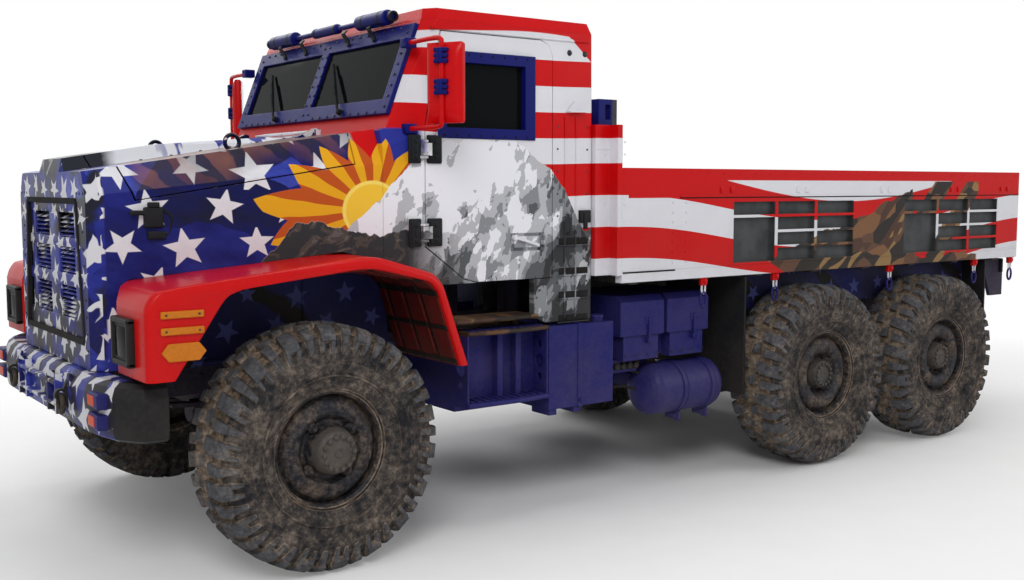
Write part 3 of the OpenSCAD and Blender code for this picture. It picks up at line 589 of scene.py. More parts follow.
def shards():
    """Camouflage of shards: cells stretched along a rising slant each pick a brown, tan or
    charcoal."""
    def fill(g, i):
        p = paints()
        x, y, z = g.split(i["Place"])
        bend = g.noise(i["Place"], 2.2, 2.0) * 0.34
        along, across = z * 0.45 - x * 0.9, x * 0.42 + z * 0.9
        place = g.join(along * 0.62 + bend, y * 0.4, across * 1.5 + bend)
        pick, _, _ = g.split(g.cells(place, 8.0, output="Color"))
        ground = g.ramp(pick, [(0.0, linear("#2A2625")), (0.26, linear("#4A342B")), (0.46, tuple(p.brown)),
                               (0.72, linear("#7A563B")), (0.84, tuple(p.tan))], "CONSTANT")
        return {"Color": ground}

    return shader_group("Shards", {"Place": ("vector", None)}, {"Color": "colour"}, fill)


def feather_streaks():
    """Slanted tapering streaks: a sawtooth across a slanted line, cut by a wandering threshold."""
    def fill(g, i):
        x, y, z = g.split(i["Place"])
        lean = x * 5.2 + y * 2.2 - z * 3.0 + g.noise(i["Place"], 2.6, 3.0) * 1.5
        saw = g.math("FRACT", lean)
        cut = g.noise(g.join(x * 0.8, y * 3.0, z), 2.2, 3.0) * 1.25 - 0.15
        pick = g.chance(g.join(g.math("FLOOR", lean), 2.0, 0.0))
        streak = g.blend(pick, linear("#6E4436"), linear("#8A5A48"))
        return {"Color": g.blend(g.edge(cut - saw, 0.06), streak, linear("#3A3230"))}

    return shader_group("Feather Streaks", {"Place": ("vector", None)}, {"Color": "colour"}, fill)


def grime():
    """Dust and road dirt: fractal patches, stronger near the ground, that pull colour to a dust tone."""
    def fill(g, i):
        _, _, z = g.split(i["Place"])
        patches = g.noise(i["Place"], 2.3, 7.0, 0.68)
        specks = g.noise(i["Place"], 38.0, 3.0, 0.7)
        lowness = g.math("MULTIPLY_ADD", z, -0.55, 1.25, clamp=True)
        mask = g.math("MULTIPLY", g.edge(patches * 0.7 + specks * 0.35 - 0.50, 0.35) * lowness, i["Amount"], clamp=True)
        return {"Color": g.blend(mask, i["Paint"], i["Dust"]), "Mask": mask}

    return shader_group("Grime", {
        "Place": ("vector", None), "Paint": ("colour", (0.5, 0.5, 0.5)), "Dust": ("colour", linear("#75685A")),
        "Amount": ("value", 0.3)}, {"Color": "colour", "Mask": "value"}, fill)


def paint_skin():
    """Sprayed paint's skin: roughness from slow patches, height from fine peel and faint dents."""
    def fill(g, i):
        slow = g.noise(i["Place"], 3.1, 4.0, 0.6)
        peel = g.noise(i["Place"], 240.0, 2.0)
        dents = g.noise(i["Place"], 6.0, 2.0)
        return {"Roughness": i["Roughness"] + (slow - 0.5) * 0.22, "Height": peel * 0.12 + dents * 0.9}

    return shader_group("Paint Skin", {"Place": ("vector", None), "Roughness": ("value", 0.35)},
                        {"Roughness": "value", "Height": "value"}, fill)


def cast_grain():
    """Rough castings and rubber: two scales of fractal grain, with pits where the fine one is low."""
    def fill(g, i):
        coarse = g.noise(i["Place"], 22.0, 4.0, 0.6)
        fine = g.noise(i["Place"], 130.0, 3.0, 0.6)
        pits = g.edge(0.36 - fine, 0.08)
        return {"Height": coarse * 0.7 + fine * 0.3 - pits * 0.3, "Tone": coarse * 0.6 + fine * 0.4}

    return shader_group("Cast Grain", {"Place": ("vector", None)}, {"Height": "value", "Tone": "value"}, fill)


class Finish:
    """One material: the graph, the truck's place coordinates with x counted from the front axle,
    and the closing Principled shader."""

    def __init__(self, name):
        self.material = bpy.data.materials.new(name)
        self.material.use_nodes = True
        tree = self.material.node_tree
        tree.nodes.clear()
        self.g = Graph(tree)
        coordinates = self.g.node("ShaderNodeTexCoord")
        mapping = self.g.node("ShaderNodeMapping")
        mapping.inputs["Location"].default_value = (-AXLE_X, 0, 0)
        tree.links.new(coordinates.outputs["Object"], mapping.inputs["Vector"])
        self.place = Wire(self.g, mapping.outputs[0])
        self.x, self.y, self.z = self.g.split(self.place)
        self.normal = Wire(self.g, coordinates.outputs["Normal"])

    def close(self, colour, roughness=0.4, height=None, bump=0.0006, metallic=0.0, coat=0.0, soft_edge=True, **plain):
        g = self.g
        shader = g.node("ShaderNodeBsdfPrincipled")
        g.feed(shader.inputs["Base Color"], colour)
        g.feed(shader.inputs["Roughness"], roughness)
        g.feed(shader.inputs["Metallic"], metallic)
        shader.inputs["Coat Weight"].default_value = coat * 0.12
        shader.inputs["Specular IOR Level"].default_value = 0.10
        shader.inputs["Coat Roughness"].default_value = 0.18
        for key, value in plain.items():
            g.feed(shader.inputs[key.replace("_", " ")], value)
        if height is not None:
            relief = g.node("ShaderNodeBump")
            relief.inputs["Distance"].default_value = bump
            relief.inputs["Strength"].default_value = 1.0
            g.feed(relief.inputs["Height"], height)
            if soft_edge:
                rounding = g.node("ShaderNodeBevel", samples=4)
                rounding.inputs["Radius"].default_value = sizes().soft_edge
                g.tree.links.new(rounding.outputs[0], relief.inputs["Normal"])
            g.tree.links.new(relief.outputs[0], shader.inputs["Normal"])
        output = g.node("ShaderNodeOutputMaterial")
        g.tree.links.new(shader.outputs[0], output.inputs["Surface"])
        return self.material


def painted(name, colour_of, roughness=0.34, dirt=0.25, coat=0.25, dents=0.0009, soft_edge=True):
    """A painted metal finish: colour_of(finish) gives the paint, over which dust lies."""
    f = Finish(name)
    skin = f.g.effect(paint_skin(), Place=f.place, Roughness=roughness)
    dirty = f.g.effect(grime(), Place=f.place, Paint=colour_of(f), Amount=dirt)
    rough = skin["Roughness"] + dirty["Mask"] * 0.35
    return f.close(dirty["Color"], rough, skin["Height"], dents, coat=coat, soft_edge=soft_edge)


# ---------------------------------------------------------------- the truck's finishes

def star_coat(f, radius=1.0, crowd=1.0, dark=0.0):
    """Blue ground with white stars, laid flat on whichever way a panel faces: sides by x and z,
    fronts by y and z, tops by x and y."""
    g, size = f.g, sizes()
    p = paints()
    ground = g.effect(blue_ground(), Place=f.place)["Color"]
    nx, ny, nz = g.split(f.normal)
    ax, ay, az = g.absolute(nx), g.absolute(ny), g.absolute(nz)
    facing_front = g.math("MULTIPLY", ax > ay, ax > az)
    facing_up = g.math("MULTIPLY", az > ay, az > ax)
    across = g.split(g.blend(facing_front, g.join(f.x, f.z), g.join(f.y + 9.0, f.z)))
    flat = g.blend(facing_up, g.join(across[0], across[1]), g.join(f.x, f.y + 4.0))
    stars = g.effect(star_field(), Place=flat, Radius=size.star_radius * radius, Step=size.star_step * crowd,
                     Row_step=0.205 * crowd)["Mask"]
    if dark:
        ground = g.shade(ground, dark)
        return g.blend(stars, ground, g.shade(linear("#7078A8"), dark))
    grey = g.noise(f.place, 14.0, 3.0)
    return g.blend(stars, ground, g.shade(tuple(p.white), 0.86 + grey * 0.24))


def nose_coat(f):
    """Dark blue with smaller crooked stars, for the nose and bumper."""
    g = f.g
    bend = (g.noise(f.place, 3.4, 2.0) - 0.5) * 0.22
    ground = g.effect(blue_ground(), Place=g.shade(f.place, 2.1))["Color"]
    patch = g.edge(g.noise(f.place, 2.8, 3.0) - 0.52, 0.06)
    ground = g.blend(patch, ground, linear("#1B1E2C"))
    nx, ny, _ = g.split(f.normal)
    aside = g.math("GREATER_THAN", g.absolute(ny), g.absolute(nx))
    flat = g.blend(aside, g.join(f.y + bend, f.z + bend), g.join(f.x * 1.1 + bend + 4.0, f.z + bend))
    stars = g.effect(star_field(), Place=flat, Radius=0.082, Step=0.20, Row_step=0.165, Tilt=0.6)["Mask"]
    return g.blend(stars, ground, g.shade(tuple(paints().white), 0.95))


def hood_colour(f):
    """Hood: stars on the sides, crooked ones at the nose, brown streaks on the slanted shoulders,
    white with blue strokes along the raised middle, and the sun and foothills near the cab."""
    g, p = f.g, paints()
    stars = star_coat(f)
    nose = nose_coat(f)
    _, ny, nz = g.split(f.normal)
    colour = g.blend(g.edge(f.x - 0.955, 0.01), stars, nose)
    upper = g.math("MULTIPLY", g.edge(nz - 0.25, 0.02), g.edge(0.74 - f.x + g.noise(f.place, 3.0, 3.0) * 0.1, 0.05))
    streaks = g.effect(feather_streaks(), Place=g.join(f.x, g.absolute(f.y), f.z))["Color"]
    border = g.edge(g.noise(f.place, 2.3, 4.0) * 0.34 + 0.62 - g.absolute(f.y) + f.x * -0.16 + 0.12, 0.14)
    colour = g.blend(upper * border, colour, streaks)
    red_edge = g.edge(g.noise(g.join(f.x, f.y * 0.3), 3.5, 2.0) * 0.5 - 0.62 - f.x, 0.02)
    colour = g.blend(upper * red_edge * g.edge(g.absolute(f.y) - 0.55, 0.1), colour, tuple(p.red))
    middle = g.edge(0.262 - g.absolute(f.y), 0.012)
    strokes = g.noise(g.join(f.x * 5.0, f.y * 2.0), 1.8, 2.0)
    white = g.blend(g.edge(strokes - 0.56, 0.03) * g.edge(0.45 - f.x, 0.2), linear("#D9DBE2"), tuple(p.blue))
    white = g.blend(g.edge(f.x - 0.83 + g.noise(f.place, 6.0) * 0.14, 0.1), white, linear("#20232C"))
    colour = g.blend(middle * g.edge(nz - 0.2, 0.05), colour, white)
    picture = g.effect(snow_range(), Place=f.place)
    side = g.edge(0.5 - nz, 0.1) * g.edge(0.93 - f.x, 0.1)
    colour = g.blend(picture["Mask"] * side, colour, picture["Color"])
    inside = g.high(g.math("LESS_THAN", nz, -0.25), g.math("LESS_THAN", ny * f.y, -0.05))
    return g.blend(inside, colour, linear("#10122C"))


def striped(f):
    """Red and white waving stripes, the white a little uneven."""
    g, p = f.g, paints()
    bands = g.effect(waving_stripes(), Place=f.place)
    cloud = g.noise(f.place, 2.6, 5.0, 0.6)
    return g.blend(bands["White"], g.shade(tuple(p.red), 0.86 + cloud * 0.26),
                   g.shade(tuple(p.white), 0.86 + cloud * 0.22))


def cab_colour(f):
    """Cab: stripes, red at the roof edge, a blue corner above the hood, the snowy range on the side,
    and dark trim on every inner face."""
    g, p = f.g, paints()
    colour = striped(f)
    roof_line = 2.985 + g.math("SINE", f.x * 3.6 + 1.0) * 0.022 - g.high(f.x * -1.0 - 1.83, 0.0) * 0.75
    colour = g.blend(g.edge(f.z - roof_line, 0.006), colour, tuple(p.red))
    corner = g.edge(f.x + 0.70 + g.noise(f.place, 5.0) * 0.06, 0.03) * g.edge(2.40 - f.z, 0.01)
    colour = g.blend(corner, colour, tuple(p.blue))
    front = g.edge(f.x + 0.56, 0.01) * g.edge(1.0 - g.absolute(f.y), 0.02)
    colour = g.blend(front, colour, tuple(p.red))
    picture = g.effect(snow_range(), Place=f.place)
    aside = g.edge(g.absolute(f.y) - 1.0, 0.02)
    colour = g.blend(picture["Mask"] * aside, colour, picture["Color"])
    window = g.math("MULTIPLY", g.edge(0.362 - g.absolute(f.x + 1.196), 0.002), g.edge(0.255 - g.absolute(f.z - 2.602), 0.002))
    window = window * g.edge(g.absolute(f.y) - 1.0975, 0.001)
    colour = g.blend(window, colour, tuple(p.navy))
    inner = g.math("MULTIPLY", g.edge(1.096 - g.absolute(f.y), 0.004), g.edge(f.x + 1.965, 0.004))
    inner = inner * g.edge(-0.64 - (f.z - 2.4) * 0.39 * g.edge(f.z - 2.4, 0.01) - f.x, 0.004) * g.edge(3.03 - f.z, 0.01)
    inner = inner * g.edge(f.z - 1.5395, 0.001)
    rubber = g.shade(linear("#2A2B2E"), 0.8 + g.noise(f.place, 30.0) * 0.4)
    return g.blend(inner, colour, rubber)


def bed_colour(f):
    """Bed: the same stripes, a white crescent under the top edge, two patches of brown shards,
    grey pockets and a dark lining."""
    g, p = f.g, paints()
    colour = striped(f)
    top = g.edge(f.z - 1.99, 0.004) * g.edge(-2.235 - f.x, 0.004)
    colour = g.blend(top, colour, tuple(p.red))
    colour = g.blend(g.edge(f.z - 2.462, 0.002), colour, tuple(p.navy))
    span = g.math("SINE", (f.x * -1.0 - 3.15) * (math.pi / 2.7))
    crescent = g.edge(2.108 - f.z, 0.004) * g.edge(f.z - 2.108 + span * 0.155, 0.004)
    crescent = crescent * g.edge(-3.16 - f.x, 0.01) * g.edge(f.x + 5.86, 0.01)
    colour = g.blend(crescent, colour, tuple(p.white))
    camo = g.effect(shards(), Place=f.place)["Color"]
    ragged = g.noise(f.place, 3.6, 5.0, 0.6)
    rise = g.high(f.x * -0.28 - 0.97, 0.0) * g.edge(f.x + 5.34, 0.06)
    low_patch = g.edge(1.50 + rise + (ragged - 0.5) * 0.22 - f.z, 0.004)
    slant = g.math("FRACT", (f.x + (f.z - 1.8) * 0.95) * 2.2 + 0.3)
    spike = g.edge(0.56 - slant + (ragged - 0.5) * 0.3, 0.02) * g.edge(f.x + 6.10 + (f.z - 1.8) * 0.95, 0.01) * g.edge(-5.22 - f.x - (f.z - 1.8) * 0.95, 0.01)
    low_patch = g.high(low_patch, spike * g.edge(f.z - 1.49, 0.01))
    low_patch = low_patch * g.edge(-3.75 - f.x + (f.z - 1.45) * 2.0, 0.02) * g.edge(f.x + 6.25, 0.02) * g.edge(2.105 - f.z, 0.004)
    colour = g.blend(low_patch * g.edge(g.absolute(f.y) - 1.18, 0.01), colour, camo)
    end = g.edge(f.x + 2.6, 0.01)
    shaded_pocket = g.edge(1.2462 - g.absolute(f.y), 0.001) * g.edge(g.absolute(f.y) - 1.2, 0.001)
    shaded_pocket = shaded_pocket * (1.0 - end) * g.edge(1.98 - f.z, 0.002) * g.edge(f.z - 1.5, 0.002)
    # pocket grey: the pockets' own grey paint, darkened further as painted shade for the inside of the recess
    grey = g.ramp(g.noise(f.place, 7.0, 5.0), [(0.3, linear("#2E3133")), (0.7, linear("#484C4F"))])
    colour = g.blend(shaded_pocket, colour, grey)
    lining = g.edge(1.192 - g.absolute(f.y), 0.002) * g.edge(-2.185 - f.x, 0.003) * g.edge(f.x + 6.85, 0.01)
    dark = g.ramp(g.noise(f.place, 4.0, 6.0, 0.65), [(0.35, linear("#2B2D31")), (0.7, linear("#4A4C50"))])
    return g.blend(lining, colour, dark)


def banner_colour(f):
    """Night blue with faint stars and black swooshes, for panels behind the wheels."""
    g = f.g
    ground = g.ramp(g.noise(f.place, 2.0, 4.0), [(0.35, linear("#0E1236")), (0.7, linear("#1A2263"))])
    wave = g.math("SINE", f.x * 7.0 - f.z * 9.0 + g.noise(f.place, 2.0) * 3.0)
    ground = g.blend(g.edge(wave - 0.86, 0.05), ground, linear("#05060C"))
    stars = g.effect(star_field(), Place=g.join(f.x, f.z), Radius=0.066, Step=0.31, Row_step=0.17)["Mask"]
    return g.blend(stars, ground, linear("#454C86"))


def step_colour(f):
    """Navy step boxes whose upper treads carry the dark shards."""
    g = f.g
    navy = flat_colour(tuple(paints().navy), 0.35)(f)
    camo = g.shade(g.effect(shards(), Place=f.place)["Color"], 0.55)
    return g.blend(g.edge(f.z - 1.174, 0.002), navy, camo)


def flat_colour(code, spread=0.24, scale=3.0):
    """A paint of one colour whose brightness drifts in soft patches."""
    def colour_of(f):
        return f.g.shade(code, 1.0 - spread / 2 + f.g.noise(f.place, scale, 5.0, 0.6) * spread)
    return colour_of


def metal(name, dark, light, roughness=0.5, metallic=0.8, dirt=0.35):
    """Bare or cast metal: two tones mixed by grain, pitted, under dust."""
    f = Finish(name)
    grain = f.g.effect(cast_grain(), Place=f.place)
    tone = f.g.ramp(grain["Tone"], [(0.35, linear(dark)), (0.65, linear(light))])
    dirty = f.g.effect(grime(), Place=f.place, Paint=tone, Amount=dirt)
    return f.close(dirty["Color"], roughness + dirty["Mask"] * 0.3, grain["Height"], 0.0015, metallic=metallic)


def tyre_rubber():
    """Tyre: worn grey tops and dark flanks of the lugs, dried mud in the grooves and over the wall.
    The wear attribute is 1 on tops, 0 at the groove's bottom and -1 on the side wall."""
    f = Finish("Muddy Rubber")
    g, p = f.g, paints()
    layer = g.node("ShaderNodeAttribute", attribute_name="wear")
    wear = Wire(g, layer.outputs["Fac"])
    grain = g.effect(cast_grain(), Place=f.place)
    cloud = g.noise(f.place, 5.5, 7.0, 0.72)
    fine = g.noise(f.place, 26.0, 5.0, 0.75)
    rubber = g.ramp(cloud * 0.6 + fine * 0.4, [(0.36, linear("#1C1D20")), (0.62, linear("#36363A"))])
    top = g.ramp(fine, [(0.35, linear("#3C3C3F")), (0.65, linear("#595A5E"))])
    rubber = g.blend(g.edge(wear - 0.72, 0.3), rubber, top)
    mud = g.ramp(fine * 0.6 + cloud * 0.4, [(0.34, linear("#453A31")), (0.48, tuple(p.mud)), (0.62, linear("#A09080"))])
    groove = g.edge(0.62 - g.absolute(wear), 0.5)
    wall = g.edge(-0.5 - wear, 0.2)
    amount = g.math("MULTIPLY_ADD", cloud * 0.62 + fine * 0.48 - 0.53, 2.2, groove * 1.0 + wall * 0.16, clamp=True)
    colour = g.blend(amount, rubber, mud)
    return f.close(colour, 0.72 + amount * 0.2, grain["Height"] + fine * 1.4 * amount + cloud, 0.004, soft_edge=False)


def rim_finish():
    """Rim: dark worn steel under brown dust, heavier where the slow noise is high, rusty in places."""
    f = Finish("Muddy Rim")
    g = f.g
    cloud = g.noise(f.place, 6.0, 7.0, 0.7)
    fine = g.noise(f.place, 34.0, 5.0, 0.72)
    steel = g.ramp(fine, [(0.35, linear("#232428")), (0.65, linear("#3B3B40"))])
    mud = g.ramp(fine * 0.5 + cloud * 0.5, [(0.36, linear("#4A3A31")), (0.5, linear("#66574A")), (0.66, linear("#887868"))])
    amount = g.math("MULTIPLY_ADD", cloud * 0.7 + fine * 0.4 - 0.55, 4.2, 0.20, clamp=True)
    return f.close(g.blend(amount, steel, mud), 0.5 + amount * 0.38, fine + cloud, 0.0028, metallic=(1.0 - amount) * 0.5)


def window_glass():
    """Dark tinted glass: clear shader with a dark tint and a smooth face."""
    f = Finish("Tinted Glass")
    g = f.g
    dust = g.effect(grime(), Place=f.place, Paint=linear("#15181B"), Amount=0.16)
    smears = g.noise(g.join(f.x, f.y * 0.6, f.z * 3.0), 5.0, 5.0, 0.6)
    return f.close(dust["Color"], 0.03 + dust["Mask"] * 0.3 + g.edge(smears - 0.62, 0.2) * 0.05,
                   smears, 0.00005, soft_edge=False, Transmission_Weight=0.45, IOR=1.16)


def lens(name, code, strength=0.0):
    """Ribbed coloured lens: fine crossing waves in the height and slightly uneven colour."""
    f = Finish(name)
    g = f.g
    ribs = g.math("SINE", f.x * 900.0 + f.y * 500.0) + g.math("SINE", f.z * 900.0)
    tone = g.shade(linear(code), 0.82 + g.noise(f.place, 60.0, 3.0) * 0.36)
    return f.close(tone, 0.28, ribs, 0.0006, coat=0.5, soft_edge=False)


def cloth(name, code):
    """Woven seat cloth: warp and weft as crossing sines in colour and height."""
    f = Finish(name)
    g = f.g
    weave = g.math("SINE", f.x * 2400.0) * g.math("SINE", (f.y + f.z) * 2400.0)
    wrinkle = g.noise(f.place, 9.0, 4.0)
    tone = g.shade(linear(code), 0.8 + weave * 0.12 + wrinkle * 0.3)
    return f.close(tone, 0.85, weave * 0.3 + wrinkle, 0.0012, soft_edge=False, Sheen_Weight=0.3)


def deck_finish():
    """Scuffed deck: dark grey with long scratches along the bed and raised tread bars."""
    f = Finish("Scuffed Deck")
    g = f.g
    scratch = g.noise(g.join(f.x * 0.4, f.y * 9.0, f.z), 9.0, 4.0, 0.6)
    a = g.math("SINE", (f.x + f.y) * 70.0) * g.math("SINE", (f.x - f.y) * 70.0)
    bars = g.edge(a - 0.55, 0.25)
    tone = g.ramp(scratch + bars * 0.12, [(0.36, linear("#26282B")), (0.58, linear("#3E4145")), (0.75, linear("#6E7075"))])
    dirty = g.effect(grime(), Place=f.place, Paint=tone, Amount=0.7)
    return f.close(dirty["Color"], 0.5 + dirty["Mask"] * 0.3, bars + scratch * 0.3, 0.003, metallic=0.35)


def liner_finish():
    """Dark red liner of the flares with black ribs that cross every hand's width."""
    f = Finish("Flare Liner")
    g = f.g
    along = f.x * 0.72 - f.z
    rib = g.low(g.math("PINGPONG", along, 0.075), g.math("PINGPONG", f.y - 1.215, 0.095))
    line = g.edge(0.011 - rib, 0.006)
    tone = g.shade(linear("#5A0B0C"), 0.75 + g.noise(f.place, 8.0, 4.0) * 0.5)
    dirty = g.effect(grime(), Place=f.place, Paint=g.blend(line, tone, linear("#0A0A0B")), Amount=0.25)
    return f.close(dirty["Color"], 0.5, line, 0.012)


def make_finishes():
    """Every material of the truck by a short name."""
    p = paints()
    return {
        "hood": painted("Hood Livery", hood_colour, 0.32, 0.18, 0.35),
        "cab": painted("Cab Livery", cab_colour, 0.36, 0.2, 0.3),
        "bed": painted("Bed Livery", bed_colour, 0.38, 0.25, 0.25),
        "nose": painted("Nose Livery", nose_coat, 0.34, 0.25, 0.3),
        "red": painted("Red Paint", flat_colour(tuple(p.red)), 0.28, 0.12, 0.5),
        "navy": painted("Navy Paint", flat_colour(tuple(p.navy), 0.35), 0.4, 0.28, 0.2),
        "banner": painted("Night Blue Banner", banner_colour, 0.45, 0.2, 0.1),
        "chassis": painted("Chassis Paint", flat_colour(tuple(p.chassis), 0.5), 0.55, 0.6, 0.0),
        "black": painted("Satin Black", flat_colour(linear("#1A1C20"), 0.4), 0.42, 0.2, 0.1),
        "rubber": metal("Black Rubber", "#0E0F11", "#1C1D20", 0.75, 0.0, 0.2),
        "iron": metal("Bolt Steel", "#2A2A2D", "#4B4B50", 0.45, 0.7, 0.3),
        "cast": metal("Oily Casting", "#141518", "#26272A", 0.55, 0.4, 0.6),
        "white": painted("White Paint", flat_colour(tuple(p.white), 0.15), 0.35, 0.15, 0.2),
        "tyre": tyre_rubber(),
        "rim": rim_finish(),
        "glass": window_glass(),
        "amber": lens("Amber Lens", "#C8741A"),
        "orange": lens("Orange Reflector", "#D2491A"),
        "clear": lens("Clear Lens", "#6B6F70"),
        "tail": lens("Red Lens", "#8E1014"),
        "hub": metal("Hub Steel", "#2C2D30", "#4E4F52", 0.5, 0.5, 0.5),
        "tread": painted("Step Livery", step_colour, 0.5, 0.3, 0.05),
        "mirror": metal("Mirror Glass", "#B9BCC0", "#D2D4D8", 0.04, 1.0, 0.1),
        "cloth": cloth("Seat Cloth", "#26272B"),
        "deck": deck_finish(),
        "liner": liner_finish(),
    }


FINISHES = {}


def finish(key):
    if not FINISHES:
        FINISHES.update(make_finishes())
    return FINISHES[key]


# ---------------------------------------------------------------- wheels

AXLES = ("front", "middle", "rear")


def wheel_centre(axle, side):
    """Centre of a wheel from its rolling joint."""
    word = "left" if side == 1 else "right"
    return np.array(JOINTS[f"roll_{axle}_{word}"]["pos_m"], float)


def tyre_section():
    """Half section of a tyre from the tread's middle to the bead, as (across, radius) points by
    running length, with the outward normal of each."""
    tyre_low, tyre_high = BOX["tyre_front_left"]
    outer = (tyre_high[2] - tyre_low[2]) / 2 - sizes().lug_height
    half = (tyre_high[1] - tyre_low[1]) / 2
    line = [(0, outer), (0.10, outer - 0.002), (0.168, outer - 0.012), (half - 0.022, outer - 0.04),
            (half - 0.006, outer - 0.095), (half, outer - 0.165), (half - 0.008, outer - 0.23),
            (half - 0.03, outer - 0.285), (half - 0.052, outer - 0.318)]
    return resample(soften(line, 3, 0.25), 60)


def on_tyre(section, t, lift, s, centre, side):
    """Point of a tyre: running length t picks the section point, lifted along its normal, and turned
    about the axle by the arc s."""
    run = np.concatenate([[0], np.cumsum(np.linalg.norm(np.diff(section, axis=0), axis=1))])
    tangent = np.gradient(section, axis=0)
    tangent /= np.linalg.norm(tangent, axis=1, keepdims=True)
    across, radius = (np.interp(t, run, section[:, k]) for k in (0, 1))
    na, nr = (np.interp(t, run, n) for n in (-tangent[:, 1], tangent[:, 0]))
    across = across + na * lift
    radius = radius + nr * lift
    angle = s / section[0, 1]
    return np.stack([centre[0] + radius * np.sin(angle), centre[1] + side * across,
                     centre[2] + radius * np.cos(angle)], axis=-1)


# Tread blocks of one pitch on each side: running lengths at start and end, half widths there, arc
# offset in pitches, skew in pitches for each unit of length, height share
TREAD_BLOCKS = (
    dict(start=0.068, end=0.212, wide0=0.034, wide1=0.042, offset=0.0, skew=0.9, height=1.0),
    dict(start=0.010, end=0.062, wide0=0.026, wide1=0.036, offset=0.42, skew=-0.8, height=0.95),
    dict(start=0.108, end=0.192, wide0=0.029, wide1=0.022, offset=0.52, skew=0.7, height=0.95),
    dict(start=0.205, end=0.272, wide0=0.013, wide1=0.009, offset=-0.16, skew=1.0, height=0.75),
    dict(start=0.205, end=0.262, wide0=0.013, wide1=0.009, offset=0.13, skew=1.0, height=0.75),
    dict(start=0.190, end=0.262, wide0=0.020, wide1=0.012, offset=0.52, skew=0.7, height=0.55),
)


def tread_block(section, shape, turn, centre, side):
    """One block: rows along the section, four columns across it, foot, top, top and foot, so that its
    flanks slope and its ends drop to the carcass."""
    high = sizes().lug_height
    t = np.linspace(shape["start"], shape["end"], 6)
    t = np.concatenate([[t[0] - 0.007], t, [t[-1] + 0.009]])[:, None]
    share = np.clip((t - shape["start"]) / (shape["end"] - shape["start"]), 0, 1)
    fade = np.where(t > 0.19, 1 - 0.55 * np.clip((t - 0.19) / 0.08, 0, 1), 1)
    lift = high * shape["height"] * fade * np.array([-0.25, 1, 1, -0.25])
    lift[0], lift[-1] = -0.004, -0.004
    wide = shape["wide0"] + (shape["wide1"] - shape["wide0"]) * share
    across = wide * np.array([-1, -1, 1, 1]) + 0.007 * np.array([-1, 0, 0, 1])
    middle = turn + 0.224 * (shape["offset"] + shape["skew"] * (t - 0.06))
    points = on_tyre(section, np.broadcast_to(t, lift.shape), lift, middle + across, centre, side)
    return surface(points), np.where(lift > 0, 1.0, 0.1).ravel()


def make_tyre(axle, side):
    word = "left" if side == 1 else "right"
    centre, section = wheel_centre(axle, side), tyre_section()
    both = np.concatenate([section[::-1] * [-1, 1], section[1:]])
    inner = [(section[-1, 0] - 0.012, section[-1, 1] - 0.012), (0.08, section[-1, 1] - 0.004),
             (-0.08, section[-1, 1] - 0.004), (-section[-1, 0] + 0.012, section[-1, 1] - 0.012)]
    ring = np.concatenate([both, inner])
    ring[:, 0] *= side
    turns = np.linspace(0, 2 * math.pi, 120, endpoint=False)[:, None]
    shape = np.stack([centre[0] + ring[:, 1] * np.sin(turns), np.broadcast_to(centre[1] + ring[:, 0], (120, len(ring))),
                      centre[2] + ring[:, 1] * np.cos(turns)], axis=-1)
    parts = [surface(shape, wrap_rows=True, wrap_cols=True)]
    on_tread = np.abs(ring[:, 0]) < 0.17
    wear = [np.tile(np.where(on_tread, 0.15, -1.0), 120)]
    for k in range(sizes().lug_count):
        pitch = 2 * math.pi * section[0, 1] / sizes().lug_count
        for half in (1, -1):
            for shape in TREAD_BLOCKS:
                part, marks = tread_block(section, shape, (k + (0.5 if half < 0 else 0)) * pitch * half, centre, half)
                parts.append(part)
                wear.append(marks)
    for radius in (0.405, 0.47):
        for half in (1, -1):
            parts.append(revolve([(half * (0.2145 - 0.02), radius - 0.01), (half * 0.2145, radius - 0.003),
                                  (half * 0.2145, radius + 0.003), (half * (0.2145 - 0.02), radius + 0.01)],
                                 centre, "y", 96))
            wear.append(np.full(96 * 4, -0.8))
    piece(f"tyre_{axle}_{word}_tread", parts, finish("tyre"), f"wheel_{axle}_{word}",
          [f"tyre_{axle}_{word}"], smooth=40, wear=np.concatenate(wear))


def rim_profile(axle):
    """Rim section from hub centre to the back of the barrel, as (outward distance, radius)."""
    front = [(0.256, 0.001), (0.258, 0.03), (0.256, 0.098), (0.248, 0.108), (0.225, 0.117), (0.190, 0.128),
             (0.150, 0.136), (0.128, 0.142), (0.126, 0.160), (0.138, 0.172), (0.158, 0.184), (0.168, 0.206),
             (0.164, 0.236), (0.152, 0.258), (0.130, 0.272), (0.112, 0.280), (0.106, 0.289)]
    rear = [(0.148, 0.001), (0.150, 0.03), (0.148, 0.088), (0.142, 0.098), (0.110, 0.108), (0.070, 0.116),
            (0.056, 0.124), (0.054, 0.142), (0.098, 0.152), (0.126, 0.164), (0.142, 0.186), (0.146, 0.216),
            (0.142, 0.240), (0.130, 0.258), (0.114, 0.270), (0.100, 0.278), (0.096, 0.288)]
    barrel = [(0.090, 0.292), (0.146, 0.297), (0.156, 0.306), (0.160, 0.322), (0.169, 0.326), (0.173, 0.318),
              (0.168, 0.304), (0.150, 0.294)]
    back = [(-0.150, 0.294), (-0.166, 0.318), (-0.158, 0.318), (-0.140, 0.286), (-0.03, 0.270), (-0.03, 0.001)]
    return (front if axle == "front" else rear) + barrel[:6] + back


